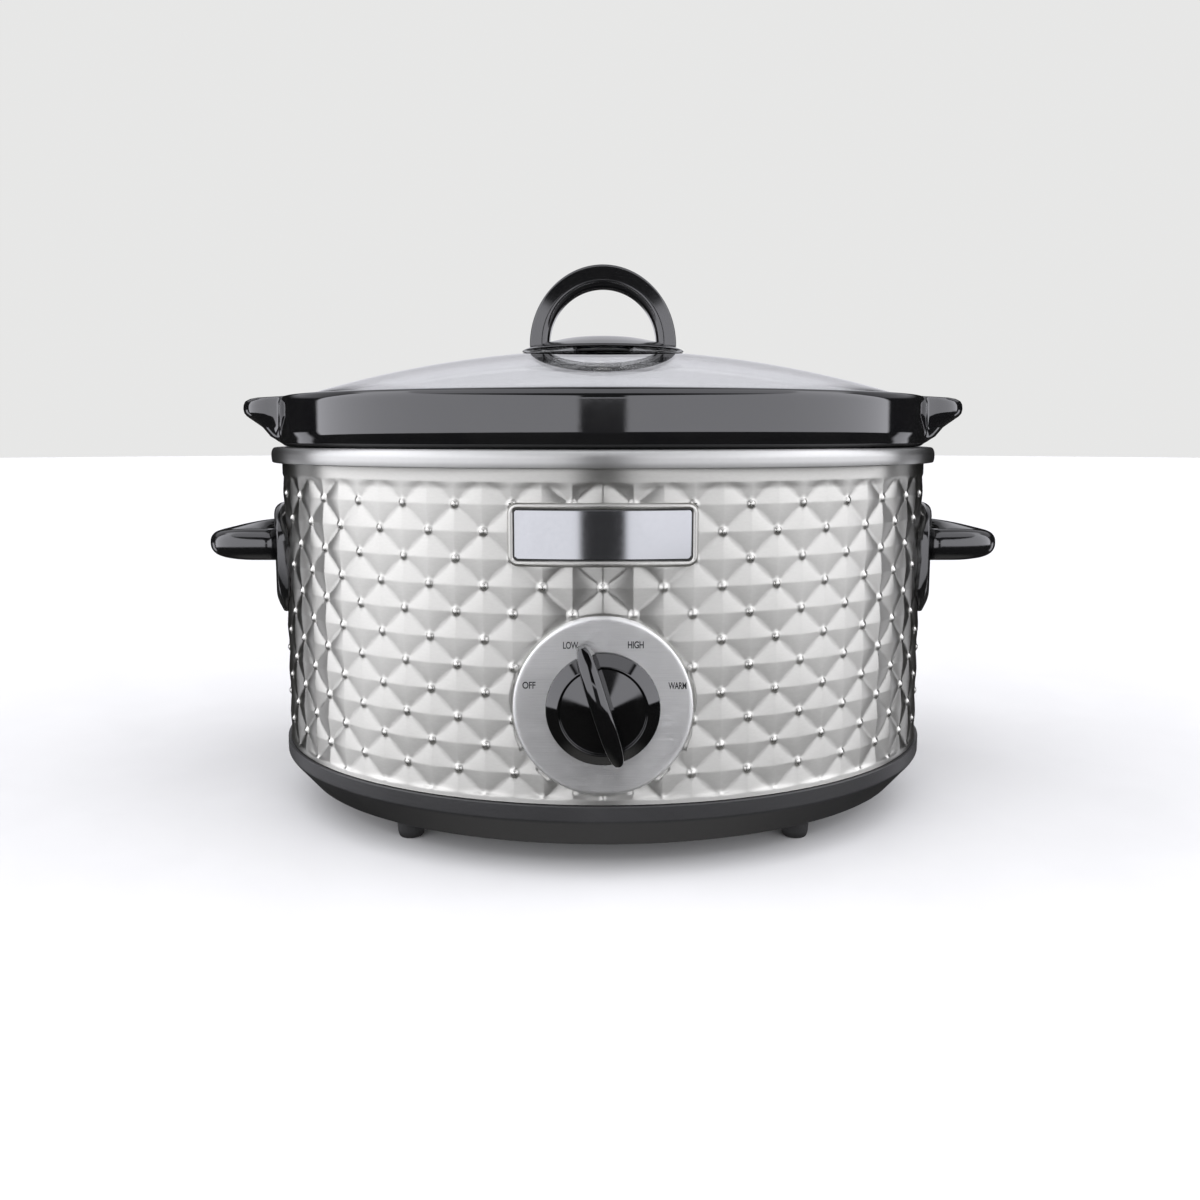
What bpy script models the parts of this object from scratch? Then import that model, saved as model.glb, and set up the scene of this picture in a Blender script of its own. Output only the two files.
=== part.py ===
"""Oval slow cooker: steel-wrapped housing, lift-out crock, glass lid and rotary control knob.

Metres, +Z up. The origin is on the table in the middle of the footprint; the control faces -Y.
"growth" below means an even offset outwards (+) or inwards (-) from the oval steel wall.
"""
from math import asin, cos, pi, radians, sin, sqrt

import bmesh
import bpy

# Driving dimensions
WALL_A = 0.1650                 # half length of the oval wall, along X
WALL_B = 0.1335                 # half depth of the oval wall, along Y
SHEET = 0.0008                  # steel wrap thickness
GAP = 0.0003                    # gap left between pieces that touch
OVAL_STEPS = 40                 # facets round every oval piece
TURN_STEPS = 16                 # facets round every turned piece

BASE_BOTTOM = 0.0100            # underside of the base tray
BASE_CREASE = 0.0238            # where the sloped foot of the tray turns upright
BASE_TOP = 0.0315               # edge that the steel wrap stands on
BASE_FLOOR = 0.0025             # tray floor thickness
BASE_LEDGE = 0.0015             # how far the tray stands out past the wrap, as growth
RING_BOTTOM = 0.1712            # rolled bead of the heating pan
RING_TOP = 0.1787
RING_GROWTH = 0.0050            # how far the bead stands out of the wall
RIM_TOP = 0.2039                # top of the crock
FOOT_X, FOOT_Y = 0.0890, 0.0860
FOOT_R = 0.0065

PAN_WALL = -0.0140              # outer face of the heating pan, as growth
PAN_FLOOR = 0.0500              # underside of the heating pan
CROCK_WALL = -0.0170            # outer face of the crock below its band
CROCK_INSIDE = -0.0235          # inner face of the crock
CROCK_FLOOR = 0.0655            # cooking floor
LUG_TIP = 0.1850                # reach of the crock's lugs

DIAL_Z = 0.0735                 # height of the control's axis
DIAL_R = 0.0370                 # flat pressed pad round the control
DIAL_FACE = -0.1340             # plane of the pad, Y
KNOB_R = 0.0235
KNOB_TILT = radians(17.3)       # pointer stands this far left of upright at rest
SWITCH_SIDE = 0.0300
SWITCH_BACK = -0.1215           # rear face of the rotary switch, Y
SHAFT_R = 0.0030
BUSH_R = 0.0045

BADGE_HALF = 0.0383
BADGE_LOW, BADGE_HIGH = 0.1315, 0.1574
BADGE_MIDDLE = (BADGE_LOW + BADGE_HIGH) / 2
BADGE_STUDS = (("left", -0.0250), ("right", 0.0250))

HANDLE_REACH = 0.2021           # outermost point of the side handles
HANDLE_Z = 0.1302               # height of the bar
HANDLE_HALF = 0.0350            # half distance between the legs of the loop
HANDLE_ENDS = (("front", -HANDLE_HALF), ("back", HANDLE_HALF))
BAR_DEPTH, BAR_HEIGHT = 0.0150, 0.0157
PLATE_LOW, PLATE_HIGH = 0.0934, 0.1498
PLATE_HALF = 0.0480             # half width of the handle's plate, along Y
PLATE_THICK = 0.0047

GLASS_EDGE = -0.0095            # rim of the lid glass, as growth
GLASS_THICK = 0.0040
GLASS_LOW = 0.2035              # top face of the glass at its rim
GLASS_TOP = 0.2278              # top face of the glass in the middle
DISC_R = 0.0423                 # disc under the lid handle
DISC_EDGE = 0.2278
DISC_TOP = 0.2354
ARCH_OUT = (0.0379, 0.0413)     # half width and height of the arch outside
ARCH_IN = (0.0277, 0.0281)      # the same for the opening
ARCH_FOOT = 0.2307
ARCH_IN_FOOT = 0.2320

GLAND_Z = 0.0480
GLAND_END = 0.1470              # outer end of the cord gland, Y
GLAND_BORE = 0.0036
GLAND_NECK = 0.0057             # radius where the gland passes the wall
SHIELD_Z = 0.0350               # underside of the heat shield
STUD_R = 0.0025
BAND_LOW, BAND_HIGH = 0.0930, 0.1280
BAND_SCREW_Y = 0.1262
BAND_SCREW_Z = 0.1105
WIRE_R = 0.0011
OVERCUT = 0.0050                # how far a cutter runs past the face it opens

DIAL = (0.0, 0.0, DIAL_Z)       # the control's axis crosses the wall's middle plane here
TO_FRONT = (pi / 2, 0.0, 0.0)   # turns a piece's +Z to face -Y
TO_BACK = (-pi / 2, 0.0, 0.0)
TO_RIGHT = (0.0, pi / 2, 0.0)
TO_LEFT = (0.0, -pi / 2, 0.0)
SIDES = (("left", -1, TO_LEFT), ("right", 1, TO_RIGHT))

# Finishes: base colour, roughness, metallic
STEEL = ((0.62, 0.62, 0.62), 0.28, 1.0)
CHROME = ((0.75, 0.75, 0.76), 0.12, 1.0)
ZINC = ((0.55, 0.55, 0.53), 0.40, 1.0)
BLACK_GLAZE = ((0.012, 0.012, 0.012), 0.08, 0.0)
BLACK_GLOSS = ((0.015, 0.015, 0.016), 0.15, 0.0)
BLACK_MATT = ((0.035, 0.035, 0.036), 0.55, 0.0)
RUBBER = ((0.02, 0.02, 0.02), 0.80, 0.0)
SILICONE = ((0.30, 0.30, 0.30), 0.70, 0.0)
CLEAR_GLASS = ((0.85, 0.90, 0.88), 0.03, 0.0)
CERAMIC_WHITE = ((0.70, 0.68, 0.62), 0.50, 0.0)
WIRE_RED = ((0.40, 0.03, 0.02), 0.50, 0.0)
WIRE_WHITE = ((0.60, 0.60, 0.58), 0.50, 0.0)


def clear_scene():
    for obj in list(bpy.data.objects):
        bpy.data.objects.remove(obj, do_unlink=True)


def make_empty(name, location, rotation=(0.0, 0.0, 0.0), parent=None):
    empty = bpy.data.objects.new(name, None)
    bpy.context.collection.objects.link(empty)
    empty.location = location
    empty.rotation_euler = rotation
    empty.parent = parent
    return empty


def make_material(name, finish):
    colour, roughness, metallic = finish
    material = bpy.data.materials.new(name)
    material.use_nodes = True
    shader = material.node_tree.nodes["Principled BSDF"]
    shader.inputs["Base Color"].default_value = (*colour, 1.0)
    shader.inputs["Roughness"].default_value = roughness
    shader.inputs["Metallic"].default_value = metallic
    return material


def make_object(name, bm, finish, parent=None, smooth=35.0):
    """Turn a bmesh into a named object with a material of its own."""
    bmesh.ops.recalc_face_normals(bm, faces=bm.faces)
    mesh = bpy.data.meshes.new(name)
    bm.to_mesh(mesh)
    bm.free()
    mesh.shade_smooth()
    mesh.set_sharp_from_angle(angle=radians(smooth))
    obj = bpy.data.objects.new(name, mesh)
    bpy.context.collection.objects.link(obj)
    obj.parent = parent
    if finish:
        mesh.materials.append(make_material(name, finish))
    return obj


def combine(target, tool, operation):
    """Join or cut target with tool, which stays in the scene as a hidden guide."""
    tool.hide_render = True
    tool.display_type = "WIRE"
    modifier = target.modifiers.new(operation.title() + " " + tool.name, "BOOLEAN")
    modifier.operation = operation
    modifier.solver = "EXACT"
    modifier.object = tool


def oval_point(angle, growth, height):
    return ((WALL_A + growth) * cos(angle), (WALL_B + growth) * sin(angle), height)


def oval_ring(growth, height):
    return [oval_point(2 * pi * i / OVAL_STEPS, growth, height) for i in range(OVAL_STEPS)]


def round_ring(radius, height, steps=TURN_STEPS):
    if radius == 0.0:
        return [(0.0, 0.0, height)]
    return [(radius * cos(2 * pi * i / steps), radius * sin(2 * pi * i / steps), height)
            for i in range(steps)]


def skin(rings, closed=False):
    """Skin a stack of point rings; an open stack is capped at both ends."""
    bm = bmesh.new()
    loops = [[bm.verts.new(point) for point in ring] for ring in rings]
    pairs = list(zip(loops, loops[1:] + loops[:1])) if closed else list(zip(loops, loops[1:]))
    for low, high in pairs:
        count = max(len(low), len(high))
        for i in range(count):
            j = (i + 1) % count
            corners = [low[i % len(low)], low[j % len(low)], high[j % len(high)], high[i % len(high)]]
            bm.faces.new(list(dict.fromkeys(corners)))
    if not closed:
        for loop in (loops[0], loops[-1]):
            if len(loop) > 2:
                bm.faces.new(loop)
    return bm


def oval_body(name, profile, finish, parent=None, closed=False):
    return make_object(name, skin([oval_ring(*p) for p in profile], closed), finish, parent)


def turned(name, profile, finish, parent=None, closed=False, steps=TURN_STEPS):
    return make_object(name, skin([round_ring(r, z, steps) for r, z in profile], closed), finish, parent)


def rod(name, radius, low, high, finish=None, steps=TURN_STEPS):
    return turned(name, [(radius, low), (radius, high)], finish, steps=steps)


def washer(name, inner, outer, low, high, finish):
    return turned(name, [(inner, low), (outer, low), (outer, high), (inner, high)], finish, closed=True)


def screw(name, finish, head_r, head_h, shank_r, length):
    """A pan-head screw along +Z: head below z = 0, shank above it."""
    crown = head_h * 0.35
    profile = [(0.0, -head_h), (head_r * 0.7, -head_h), (head_r, -head_h + crown), (head_r, 0.0),
               (shank_r, 0.0), (shank_r, length - shank_r), (shank_r * 0.4, length), (0.0, length)]
    return turned(name, profile, finish, steps=12)


def place(obj, location, rotation=(0.0, 0.0, 0.0), parent=None):
    obj.location = location
    obj.rotation_euler = rotation
    if parent:
        obj.parent = parent
    return obj


def block(name, size, location, finish, bevel=0.0):
    bm = bmesh.new()
    bmesh.ops.create_cube(bm, size=1.0)
    bmesh.ops.scale(bm, vec=size, verts=bm.verts)
    obj = place(make_object(name, bm, finish), location)
    if bevel:
        modifier = obj.modifiers.new("Edge", "BEVEL")
        modifier.width = bevel
        modifier.segments = 2
    return obj


def oval_patch(name, angles, section, finish):
    """Loft sections of (growth, height) points along a stretch of the oval wall."""
    rings = [[oval_point(angle, g, z) for g, z in section(angle)] for angle in angles]
    return make_object(name, skin(rings), finish)


def spread(low, high, count):
    return [low + (high - low) * i / count for i in range(count + 1)]


# ---------------------------------------------------------------- base and feet

def make_base():
    profile = [(-0.0125, BASE_BOTTOM), (-0.0100, BASE_BOTTOM + 0.0006), (BASE_LEDGE - 0.0006, BASE_CREASE),
               (BASE_LEDGE, BASE_CREASE + 0.0010), (BASE_LEDGE, BASE_TOP), (-0.0012, BASE_TOP),
               (-0.0012, BASE_TOP + 0.0045), (-0.0032, BASE_TOP + 0.0045), (-0.0034, BASE_CREASE + 0.0008),
               (-0.0125, BASE_BOTTOM + BASE_FLOOR)]
    tray = oval_body("base_tray", profile, BLACK_MATT)
    hole = rod("stud_hole", STUD_R + GAP, BASE_BOTTOM - 0.005, BASE_BOTTOM + 0.01)
    combine(tray, hole, "DIFFERENCE")
    corners = (("front_left", -1, -1), ("front_right", 1, -1), ("back_left", -1, 1), ("back_right", 1, 1))
    for corner, side, depth in corners:
        make_foot(tray, corner, side * FOOT_X, depth * FOOT_Y)


def make_foot(tray, corner, x, y):
    """A rubber foot with a recessed screw that bites into the tray floor."""
    top = BASE_BOTTOM - GAP
    recess, bore, screw_r, head_r = 0.0040, 0.0020, 0.0015, 0.0028
    profile = [(bore, top), (FOOT_R, top), (FOOT_R - 0.0004, 0.0020), (FOOT_R - 0.0012, 0.0),
               (head_r + 0.0006, 0.0), (head_r + 0.0006, recess), (bore, recess)]
    place(turned("foot_" + corner, profile, RUBBER, closed=True), (x, y, 0.0))
    hole = place(rod("foot_hole_" + corner, bore, BASE_BOTTOM - 0.005, BASE_BOTTOM + 0.01), (x, y, 0.0))
    combine(tray, hole, "DIFFERENCE")
    fixing = screw("foot_screw_" + corner, ZINC, head_r, 0.0020, screw_r, 0.0120)
    place(fixing, (x, y, recess - GAP))


# ---------------------------------------------------------------- steel wrap and badge

def make_wrap():
    low, high = BASE_TOP + GAP, RING_TOP - 0.0020
    profile = [(0.0, low), (0.0, high), (-SHEET, high), (-SHEET, low)]
    wrap = oval_body("housing_wrap", profile, STEEL, closed=True)
    face = -DIAL_FACE
    pad = rod("dial_pad", DIAL_R, face - 0.0040, face, steps=36)
    combine(wrap, place(pad, DIAL, TO_FRONT), "UNION")
    hollow = rod("dial_hollow", DIAL_R - SHEET, face - 0.0140, face - SHEET, steps=36)
    combine(wrap, place(hollow, DIAL, TO_FRONT), "DIFFERENCE")
    bush = rod("bush_hole", BUSH_R + GAP, face - OVERCUT, face + OVERCUT)
    combine(wrap, place(bush, DIAL, TO_FRONT), "DIFFERENCE")
    gland = rod("gland_hole", GLAND_NECK + GAP, WALL_B - OVERCUT, WALL_B + OVERCUT)
    combine(wrap, place(gland, (0.0, 0.0, GLAND_Z), TO_BACK), "DIFFERENCE")
    for side, x in BADGE_STUDS:
        hole = rod("badge_hole_" + side, 0.0016, WALL_B - OVERCUT, WALL_B + OVERCUT, steps=12)
        combine(wrap, place(hole, (x, 0.0, BADGE_MIDDLE), TO_FRONT), "DIFFERENCE")
    for side, _, aim in SIDES:
        for end, y in HANDLE_ENDS:
            hole = rod("handle_hole_" + side + "_" + end, 0.0022, WALL_A - 0.0200, WALL_A + 0.0030, steps=12)
            combine(wrap, place(hole, (0.0, y, HANDLE_Z), aim), "DIFFERENCE")


def make_badge():
    """A blank nameplate with a raised border, held by two studs and push-on nuts."""
    back, face, border, edge = GAP, 0.0012, 0.0020, 0.0022

    def section(angle):
        return [(back, BADGE_LOW), (border, BADGE_LOW), (border, BADGE_LOW + edge), (face, BADGE_LOW + edge),
                (face, BADGE_HIGH - edge), (border, BADGE_HIGH - edge), (border, BADGE_HIGH),
                (back, BADGE_HIGH)]

    swing = asin(BADGE_HALF / WALL_A)
    plate = oval_patch("badge_plate", spread(-pi / 2 - swing, -pi / 2 + swing, 10), section, CHROME)
    for side, x in BADGE_STUDS:
        stud = rod("badge_stud_" + side, 0.0012, WALL_B - 0.0050, WALL_B - 0.0007, steps=12)
        combine(plate, place(stud, (x, 0.0, BADGE_MIDDLE), TO_FRONT), "UNION")
        clip = washer("badge_clip_" + side, 0.0015, 0.0035, WALL_B - 0.0043, WALL_B - 0.0036, ZINC)
        place(clip, (x, 0.0, BADGE_MIDDLE), TO_FRONT)


# ---------------------------------------------------------------- heating pan and heater

def make_pan():
    """Drawn steel well; its rolled flange is the bright bead round the top of the housing."""
    inner = PAN_WALL - 0.0010
    bead = RING_GROWTH
    profile = [(-0.0300, PAN_FLOOR), (-0.0185, PAN_FLOOR + 0.0020), (PAN_WALL, PAN_FLOOR + 0.0100),
               (PAN_WALL, RING_TOP - 0.0012), (bead - 0.0022, RING_TOP - 0.0012),
               (bead - 0.0014, RING_TOP - 0.0022), (bead - 0.0014, RING_BOTTOM),
               (bead - 0.0004, RING_BOTTOM), (bead, RING_BOTTOM + 0.0012), (bead, RING_TOP - 0.0022),
               (bead - 0.0009, RING_TOP - 0.0007), (bead - 0.0025, RING_TOP),
               (inner + 0.0012, RING_TOP), (inner, RING_TOP - 0.0012), (inner, PAN_FLOOR + 0.0105),
               (-0.0193, PAN_FLOOR + 0.0030), (-0.0310, PAN_FLOOR + 0.0010)]
    oval_body("heating_pan", profile, STEEL)
    low = BASE_BOTTOM - 0.0061
    turned("tie_stud", [(0.0, low), (STUD_R * 0.7, low), (STUD_R, low + 0.0008),
                        (STUD_R, PAN_FLOOR - GAP), (0.0, PAN_FLOOR - GAP)], ZINC)
    washer("tie_washer", STUD_R + GAP, 0.0065, BASE_BOTTOM - GAP - 0.0010, BASE_BOTTOM - GAP, ZINC)
    hex_nut("tie_nut", STUD_R + GAP, 0.0046, BASE_BOTTOM - 0.0056, BASE_BOTTOM - 0.0016)
    hex_nut("shield_nut", STUD_R + GAP, 0.0046, SHIELD_Z - GAP - 0.0036, SHIELD_Z - GAP)


def hex_nut(name, bore, radius, low, high, location=(0.0, 0.0, 0.0), rotation=(0.0, 0.0, 0.0)):
    bm = bmesh.new()
    bmesh.ops.create_cone(bm, cap_ends=True, segments=6, radius1=radius, radius2=radius, depth=high - low)
    bmesh.ops.translate(bm, vec=(0.0, 0.0, (low + high) / 2), verts=bm.verts)
    nut = place(make_object(name, bm, ZINC, smooth=20.0), location, rotation)
    thread = rod(name + "_bore", bore, low - OVERCUT, high + OVERCUT, steps=12)
    combine(nut, place(thread, location, rotation), "DIFFERENCE")


def make_shield():
    """Aluminised dish between the hot pan and the plastic base."""
    z = SHIELD_Z
    profile = [(-0.0360, z), (-0.0330, z), (-0.0310, z + 0.0040), (-0.0319, z + 0.0040),
               (-0.0335, z + 0.0008), (-0.0360, z + 0.0008)]
    shield = oval_body("heat_shield", profile, ZINC)
    combine(shield, rod("shield_hole", STUD_R + GAP, z - 0.005, z + 0.005), "DIFFERENCE")


def make_heater():
    """Strap heater sprung round the pan and pulled tight by one screw at the back."""
    back, face = PAN_WALL + 0.0008, PAN_WALL + 0.0022

    def section(angle):
        return [(back, BAND_LOW), (face, BAND_LOW), (face, BAND_HIGH), (back, BAND_HIGH)]

    split = 0.05
    band = oval_patch("heater_band", spread(pi / 2 + split, pi / 2 + 2 * pi - split, 44), section, ZINC)
    for side, sign, _ in SIDES:
        ear = block("band_ear_" + side, (0.0020, 0.0100, 0.0140), (sign * 0.0085, 0.1255, BAND_SCREW_Z), None)
        combine(band, ear, "UNION")
    at = (0.0, BAND_SCREW_Y, BAND_SCREW_Z)
    combine(band, place(rod("band_hole", 0.0019, -0.02, 0.02, steps=12), at, TO_RIGHT), "DIFFERENCE")
    tension = screw("band_screw", ZINC, 0.0032, 0.0020, 0.0016, 0.0235)
    place(tension, (-0.0098, BAND_SCREW_Y, BAND_SCREW_Z), TO_RIGHT)
    hex_nut("band_nut", 0.0016 + GAP, 0.0034, 0.0098, 0.0122, at, TO_RIGHT)


def make_fuse():
    """Thermal fuse clipped under the pan."""
    at = (0.0500, 0.0300, PAN_FLOOR - 0.0036)
    fuse = [(0.0, -0.0065), (0.0012, -0.0065), (0.0020, -0.0050), (0.0020, 0.0050), (0.0012, 0.0065),
            (0.0, 0.0065)]
    place(turned("thermal_fuse", fuse, CERAMIC_WHITE, steps=12), at, TO_RIGHT)
    clip = turned("fuse_clip", [(0.0023, -0.002), (0.0031, -0.002), (0.0031, 0.002), (0.0023, 0.002)],
                  ZINC, closed=True)
    place(clip, at, TO_RIGHT)


# ---------------------------------------------------------------- control

def make_switch():
    depth = -SWITCH_BACK
    front = -DIAL_FACE - SHEET - GAP
    middle = (depth + front) / 2
    body = block("rotary_switch", (SWITCH_SIDE, front - depth, SWITCH_SIDE), (0.0, -middle, DIAL_Z),
                 BLACK_MATT)
    bush = rod("switch_bush", BUSH_R, front - 0.0020, -DIAL_FACE + 0.0030)
    combine(body, place(bush, DIAL, TO_FRONT), "UNION")
    bore = rod("switch_bore", SHAFT_R + GAP, depth + 0.0015, -DIAL_FACE + OVERCUT)
    combine(body, place(bore, DIAL, TO_FRONT), "DIFFERENCE")
    hex_nut("switch_nut", BUSH_R + GAP, 0.0072, -DIAL_FACE + GAP, -DIAL_FACE + 0.0022, DIAL, TO_FRONT)


def blade_ring(y, half_low, half_high, low, high):
    """One cross-section of the knob's grip: flanks lean in, and the top is slightly crowned."""
    crown = 0.0002
    right = [(half_low, y, low), (half_high, y, high - 3 * crown), (half_high * 0.6, y, high - crown)]
    left = [(-x, along, z) for x, along, z in reversed(right)]
    return right + [(0.0, y, high)] + left


def make_knob(axis):
    """Skirted knob with a long pointer grip; its local +Z runs out of the dial face."""
    profile = [(0.0, 0.0048), (0.0090, 0.0048), (0.0092, 0.0007), (0.0229, 0.0007), (KNOB_R, 0.0013),
               (KNOB_R, 0.0034), (0.0186, 0.0071), (0.0180, 0.0071), (0.0176, 0.0066), (0.0, 0.0086)]
    knob = turned("control_knob", profile, BLACK_GLOSS, parent=axis, steps=28)
    tail, tip, grip_low = -0.0222, 0.0285, 0.0053
    rings = []
    for s in spread(-1.0, 1.0, 12):
        y = (tip + tail) / 2 + s * (tip - tail) / 2
        swell = sqrt(max(0.0, 1.0 - abs(s) ** 3.2))
        half_low = 0.0014 + 0.0040 * swell
        half_high = 0.0010 + 0.0030 * swell
        rings.append(blade_ring(y, half_low, half_high, grip_low, 0.0125 + 0.0048 * (1.0 - s * s)))
    blade = make_object("knob_grip", skin(rings), None, parent=axis)
    combine(knob, blade, "UNION")
    bore = rod("knob_bore", SHAFT_R + GAP, 0.0020, 0.0142)
    bore.parent = axis
    combine(knob, bore, "DIFFERENCE")
    turned("switch_shaft", [(0.0, -0.0105), (SHAFT_R, -0.0105), (SHAFT_R, 0.0132),
                            (SHAFT_R * 0.7, 0.0138), (0.0, 0.0138)], ZINC, parent=axis)
    clip = washer("shaft_clip", SHAFT_R + GAP, 0.0055, 0.0034, 0.0044, ZINC)
    clip.parent = axis


# ---------------------------------------------------------------- side handles

def signed_power(value, power):
    return (1 if value > 0 else -1) * abs(value) ** power


def bar_rings(sign):
    """Sections of the bar along a squared-off loop from root to root; it thins towards the crest."""
    crest = HANDLE_REACH - BAR_DEPTH / 2
    root = 0.1500
    path = [(root + (crest - root) * abs(cos(a)) ** 0.35, HANDLE_HALF * signed_power(sin(a), 0.55))
            for a in spread(-pi / 2, pi / 2, 16)]
    rings = []
    for i, (x, y) in enumerate(path):
        taper = max(0.0, 1.0 - (crest - x) / 0.0200)
        tall = BAR_HEIGHT / 2 * (1.0 - 0.22 * taper * taper)
        before, after = path[max(i - 1, 0)], path[min(i + 1, len(path) - 1)]
        dx, dy = after[0] - before[0], after[1] - before[1]
        length = sqrt(dx * dx + dy * dy)
        nx, ny = dy / length, -dx / length
        ring = []
        for k in range(12):
            a = 2 * pi * k / 12
            out = BAR_DEPTH / 2 * signed_power(cos(a), 0.85)
            up = tall * signed_power(sin(a), 0.85)
            ring.append((sign * (x + nx * out), y + ny * out, HANDLE_Z + up))
        rings.append(ring)
    return rings


def make_side_handle(side, sign, aim, wrap_core):
    """One moulded loop: a curved plate against the wall and a bar that stands out from it."""
    handle = make_object("handle_" + side, skin(bar_rings(sign)), BLACK_GLOSS)
    middle, half = (PLATE_LOW + PLATE_HIGH) / 2, (PLATE_HIGH - PLATE_LOW) / 2
    swing = asin(PLATE_HALF / WALL_B)
    centre = 0.0 if sign > 0 else pi
    root, soft = -0.0010, 0.0022

    def section(angle):
        part = min(abs(angle - centre) / swing, 1.0)
        h = half * (0.42 + 0.58 * sqrt(1.0 - part ** 3))
        low, high = middle - h, middle + h
        return [(root, low), (0.0012, low), (PLATE_THICK * 0.75, low + 0.0034), (PLATE_THICK, low + 0.0072),
                (PLATE_THICK, high - soft), (PLATE_THICK - soft, high), (root, high)]

    angles = spread(centre - swing, centre + swing, 12)
    combine(handle, oval_patch("handle_plate_" + side, angles, section, None), "UNION")
    combine(handle, wrap_core, "DIFFERENCE")
    for end, y in HANDLE_ENDS:
        pilot = rod("handle_pilot_" + side + "_" + end, 0.0018, 0.1480, 0.1780, steps=12)
        combine(handle, place(pilot, (0.0, y, HANDLE_Z), aim), "DIFFERENCE")
        fixing = screw("handle_screw_" + side + "_" + end, ZINC, 0.0034, 0.0020, 0.0015, 0.0200)
        place(fixing, (sign * 0.1562, y, HANDLE_Z), aim)


def make_side_handles():
    core = oval_body("wall_core", [(GAP, PLATE_LOW - 0.01), (GAP, PLATE_HIGH + 0.01)], None)
    for side, sign, aim in SIDES:
        make_side_handle(side, sign, aim, core)


# ---------------------------------------------------------------- crock

def lug_ring(x, half, low, high, sign):
    points = []
    for k in range(16):
        a = 2 * pi * k / 16
        y = half * signed_power(cos(a), 0.45)
        z = (low + high) / 2 + (high - low) / 2 * signed_power(sin(a), 0.6)
        points.append((sign * x, y, z))
    return points


def make_crock(lift):
    """Glazed stoneware: a wide outer band rests on the pan's bead, and the lid sits in its rim."""
    band_low = RING_TOP + GAP
    profile = [(-0.0300, 0.0585), (-0.0215, 0.0600), (CROCK_WALL, 0.0700), (CROCK_WALL, band_low),
               (-0.0022, band_low), (0.0003, band_low + 0.0013), (0.0008, band_low + 0.0045),
               (0.0005, RIM_TOP - 0.0030), (-0.0009, RIM_TOP - 0.0006), (-0.0030, RIM_TOP),
               (-0.0062, RIM_TOP), (-0.0084, RIM_TOP - 0.0012), (-0.0092, 0.1990), (-0.0150, 0.1985),
               (-0.0195, 0.1920), (CROCK_INSIDE, 0.0850), (-0.0290, 0.0700), (-0.0420, CROCK_FLOOR)]
    crock = oval_body("crock", profile, BLACK_GLAZE, parent=lift)
    stations = [(0.1560, 0.0370, 0.1815, RIM_TOP - 0.0005), (0.1640, 0.0368, 0.1812, RIM_TOP - 0.0005),
                (0.1690, 0.0362, 0.1828, RIM_TOP - 0.0005), (0.1740, 0.0350, 0.1877, RIM_TOP - 0.0005),
                (0.1790, 0.0328, 0.1913, RIM_TOP - 0.0006), (0.1823, 0.0295, 0.1933, RIM_TOP - 0.0010),
                (0.1843, 0.0248, 0.1947, RIM_TOP - 0.0020), (LUG_TIP, 0.0190, 0.1967, RIM_TOP - 0.0045)]
    for side, sign, _ in SIDES:
        rings = [lug_ring(x, half, low, high, sign) for x, half, low, high in stations]
        lug = make_object("crock_lug_" + side, skin(rings), None, parent=lift)
        combine(crock, lug, "UNION")


# ---------------------------------------------------------------- lid

def dome_height(part):
    """Height of the glass's top face; part runs from 0 in the middle to 1 at the rim."""
    return GLASS_LOW + (GLASS_TOP - GLASS_LOW) * (1.0 - part * part)


def glass_ring(part, lower):
    z = dome_height(part) - lower
    return [(x * part, y * part, z) for x, y, _ in oval_ring(GLASS_EDGE, z)]


def make_lid(lift):
    parts = (0.06, 0.35, 0.65, 0.88)
    rings = [glass_ring(p, 0.0) for p in parts]
    rings += [glass_ring(0.992, 0.0), glass_ring(1.0, 0.0010), glass_ring(1.0, GLASS_THICK - 0.0010)]
    rings += [glass_ring(0.992, GLASS_THICK)]
    rings += [glass_ring(p, GLASS_THICK) for p in reversed(parts)]
    glass = make_object("lid_glass", skin(rings), CLEAR_GLASS, parent=lift)
    combine(glass, rod("glass_hole", 0.0040, 0.2100, 0.2300), "DIFFERENCE")
    washer("lid_gasket", 0.0040, 0.0140, GLASS_TOP + GAP, GLASS_TOP + 0.0011, SILICONE).parent = lift
    under = GLASS_TOP - GLASS_THICK - GAP
    washer("lid_washer", 0.0026, 0.0090, under - 0.0010, under, ZINC).parent = lift
    make_lid_handle(lift)
    fixing = screw("lid_screw", ZINC, 0.0044, 0.0026, 0.0020, 0.0112)
    place(fixing, (0.0, 0.0, under - 0.0010 - GAP), parent=lift)


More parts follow.
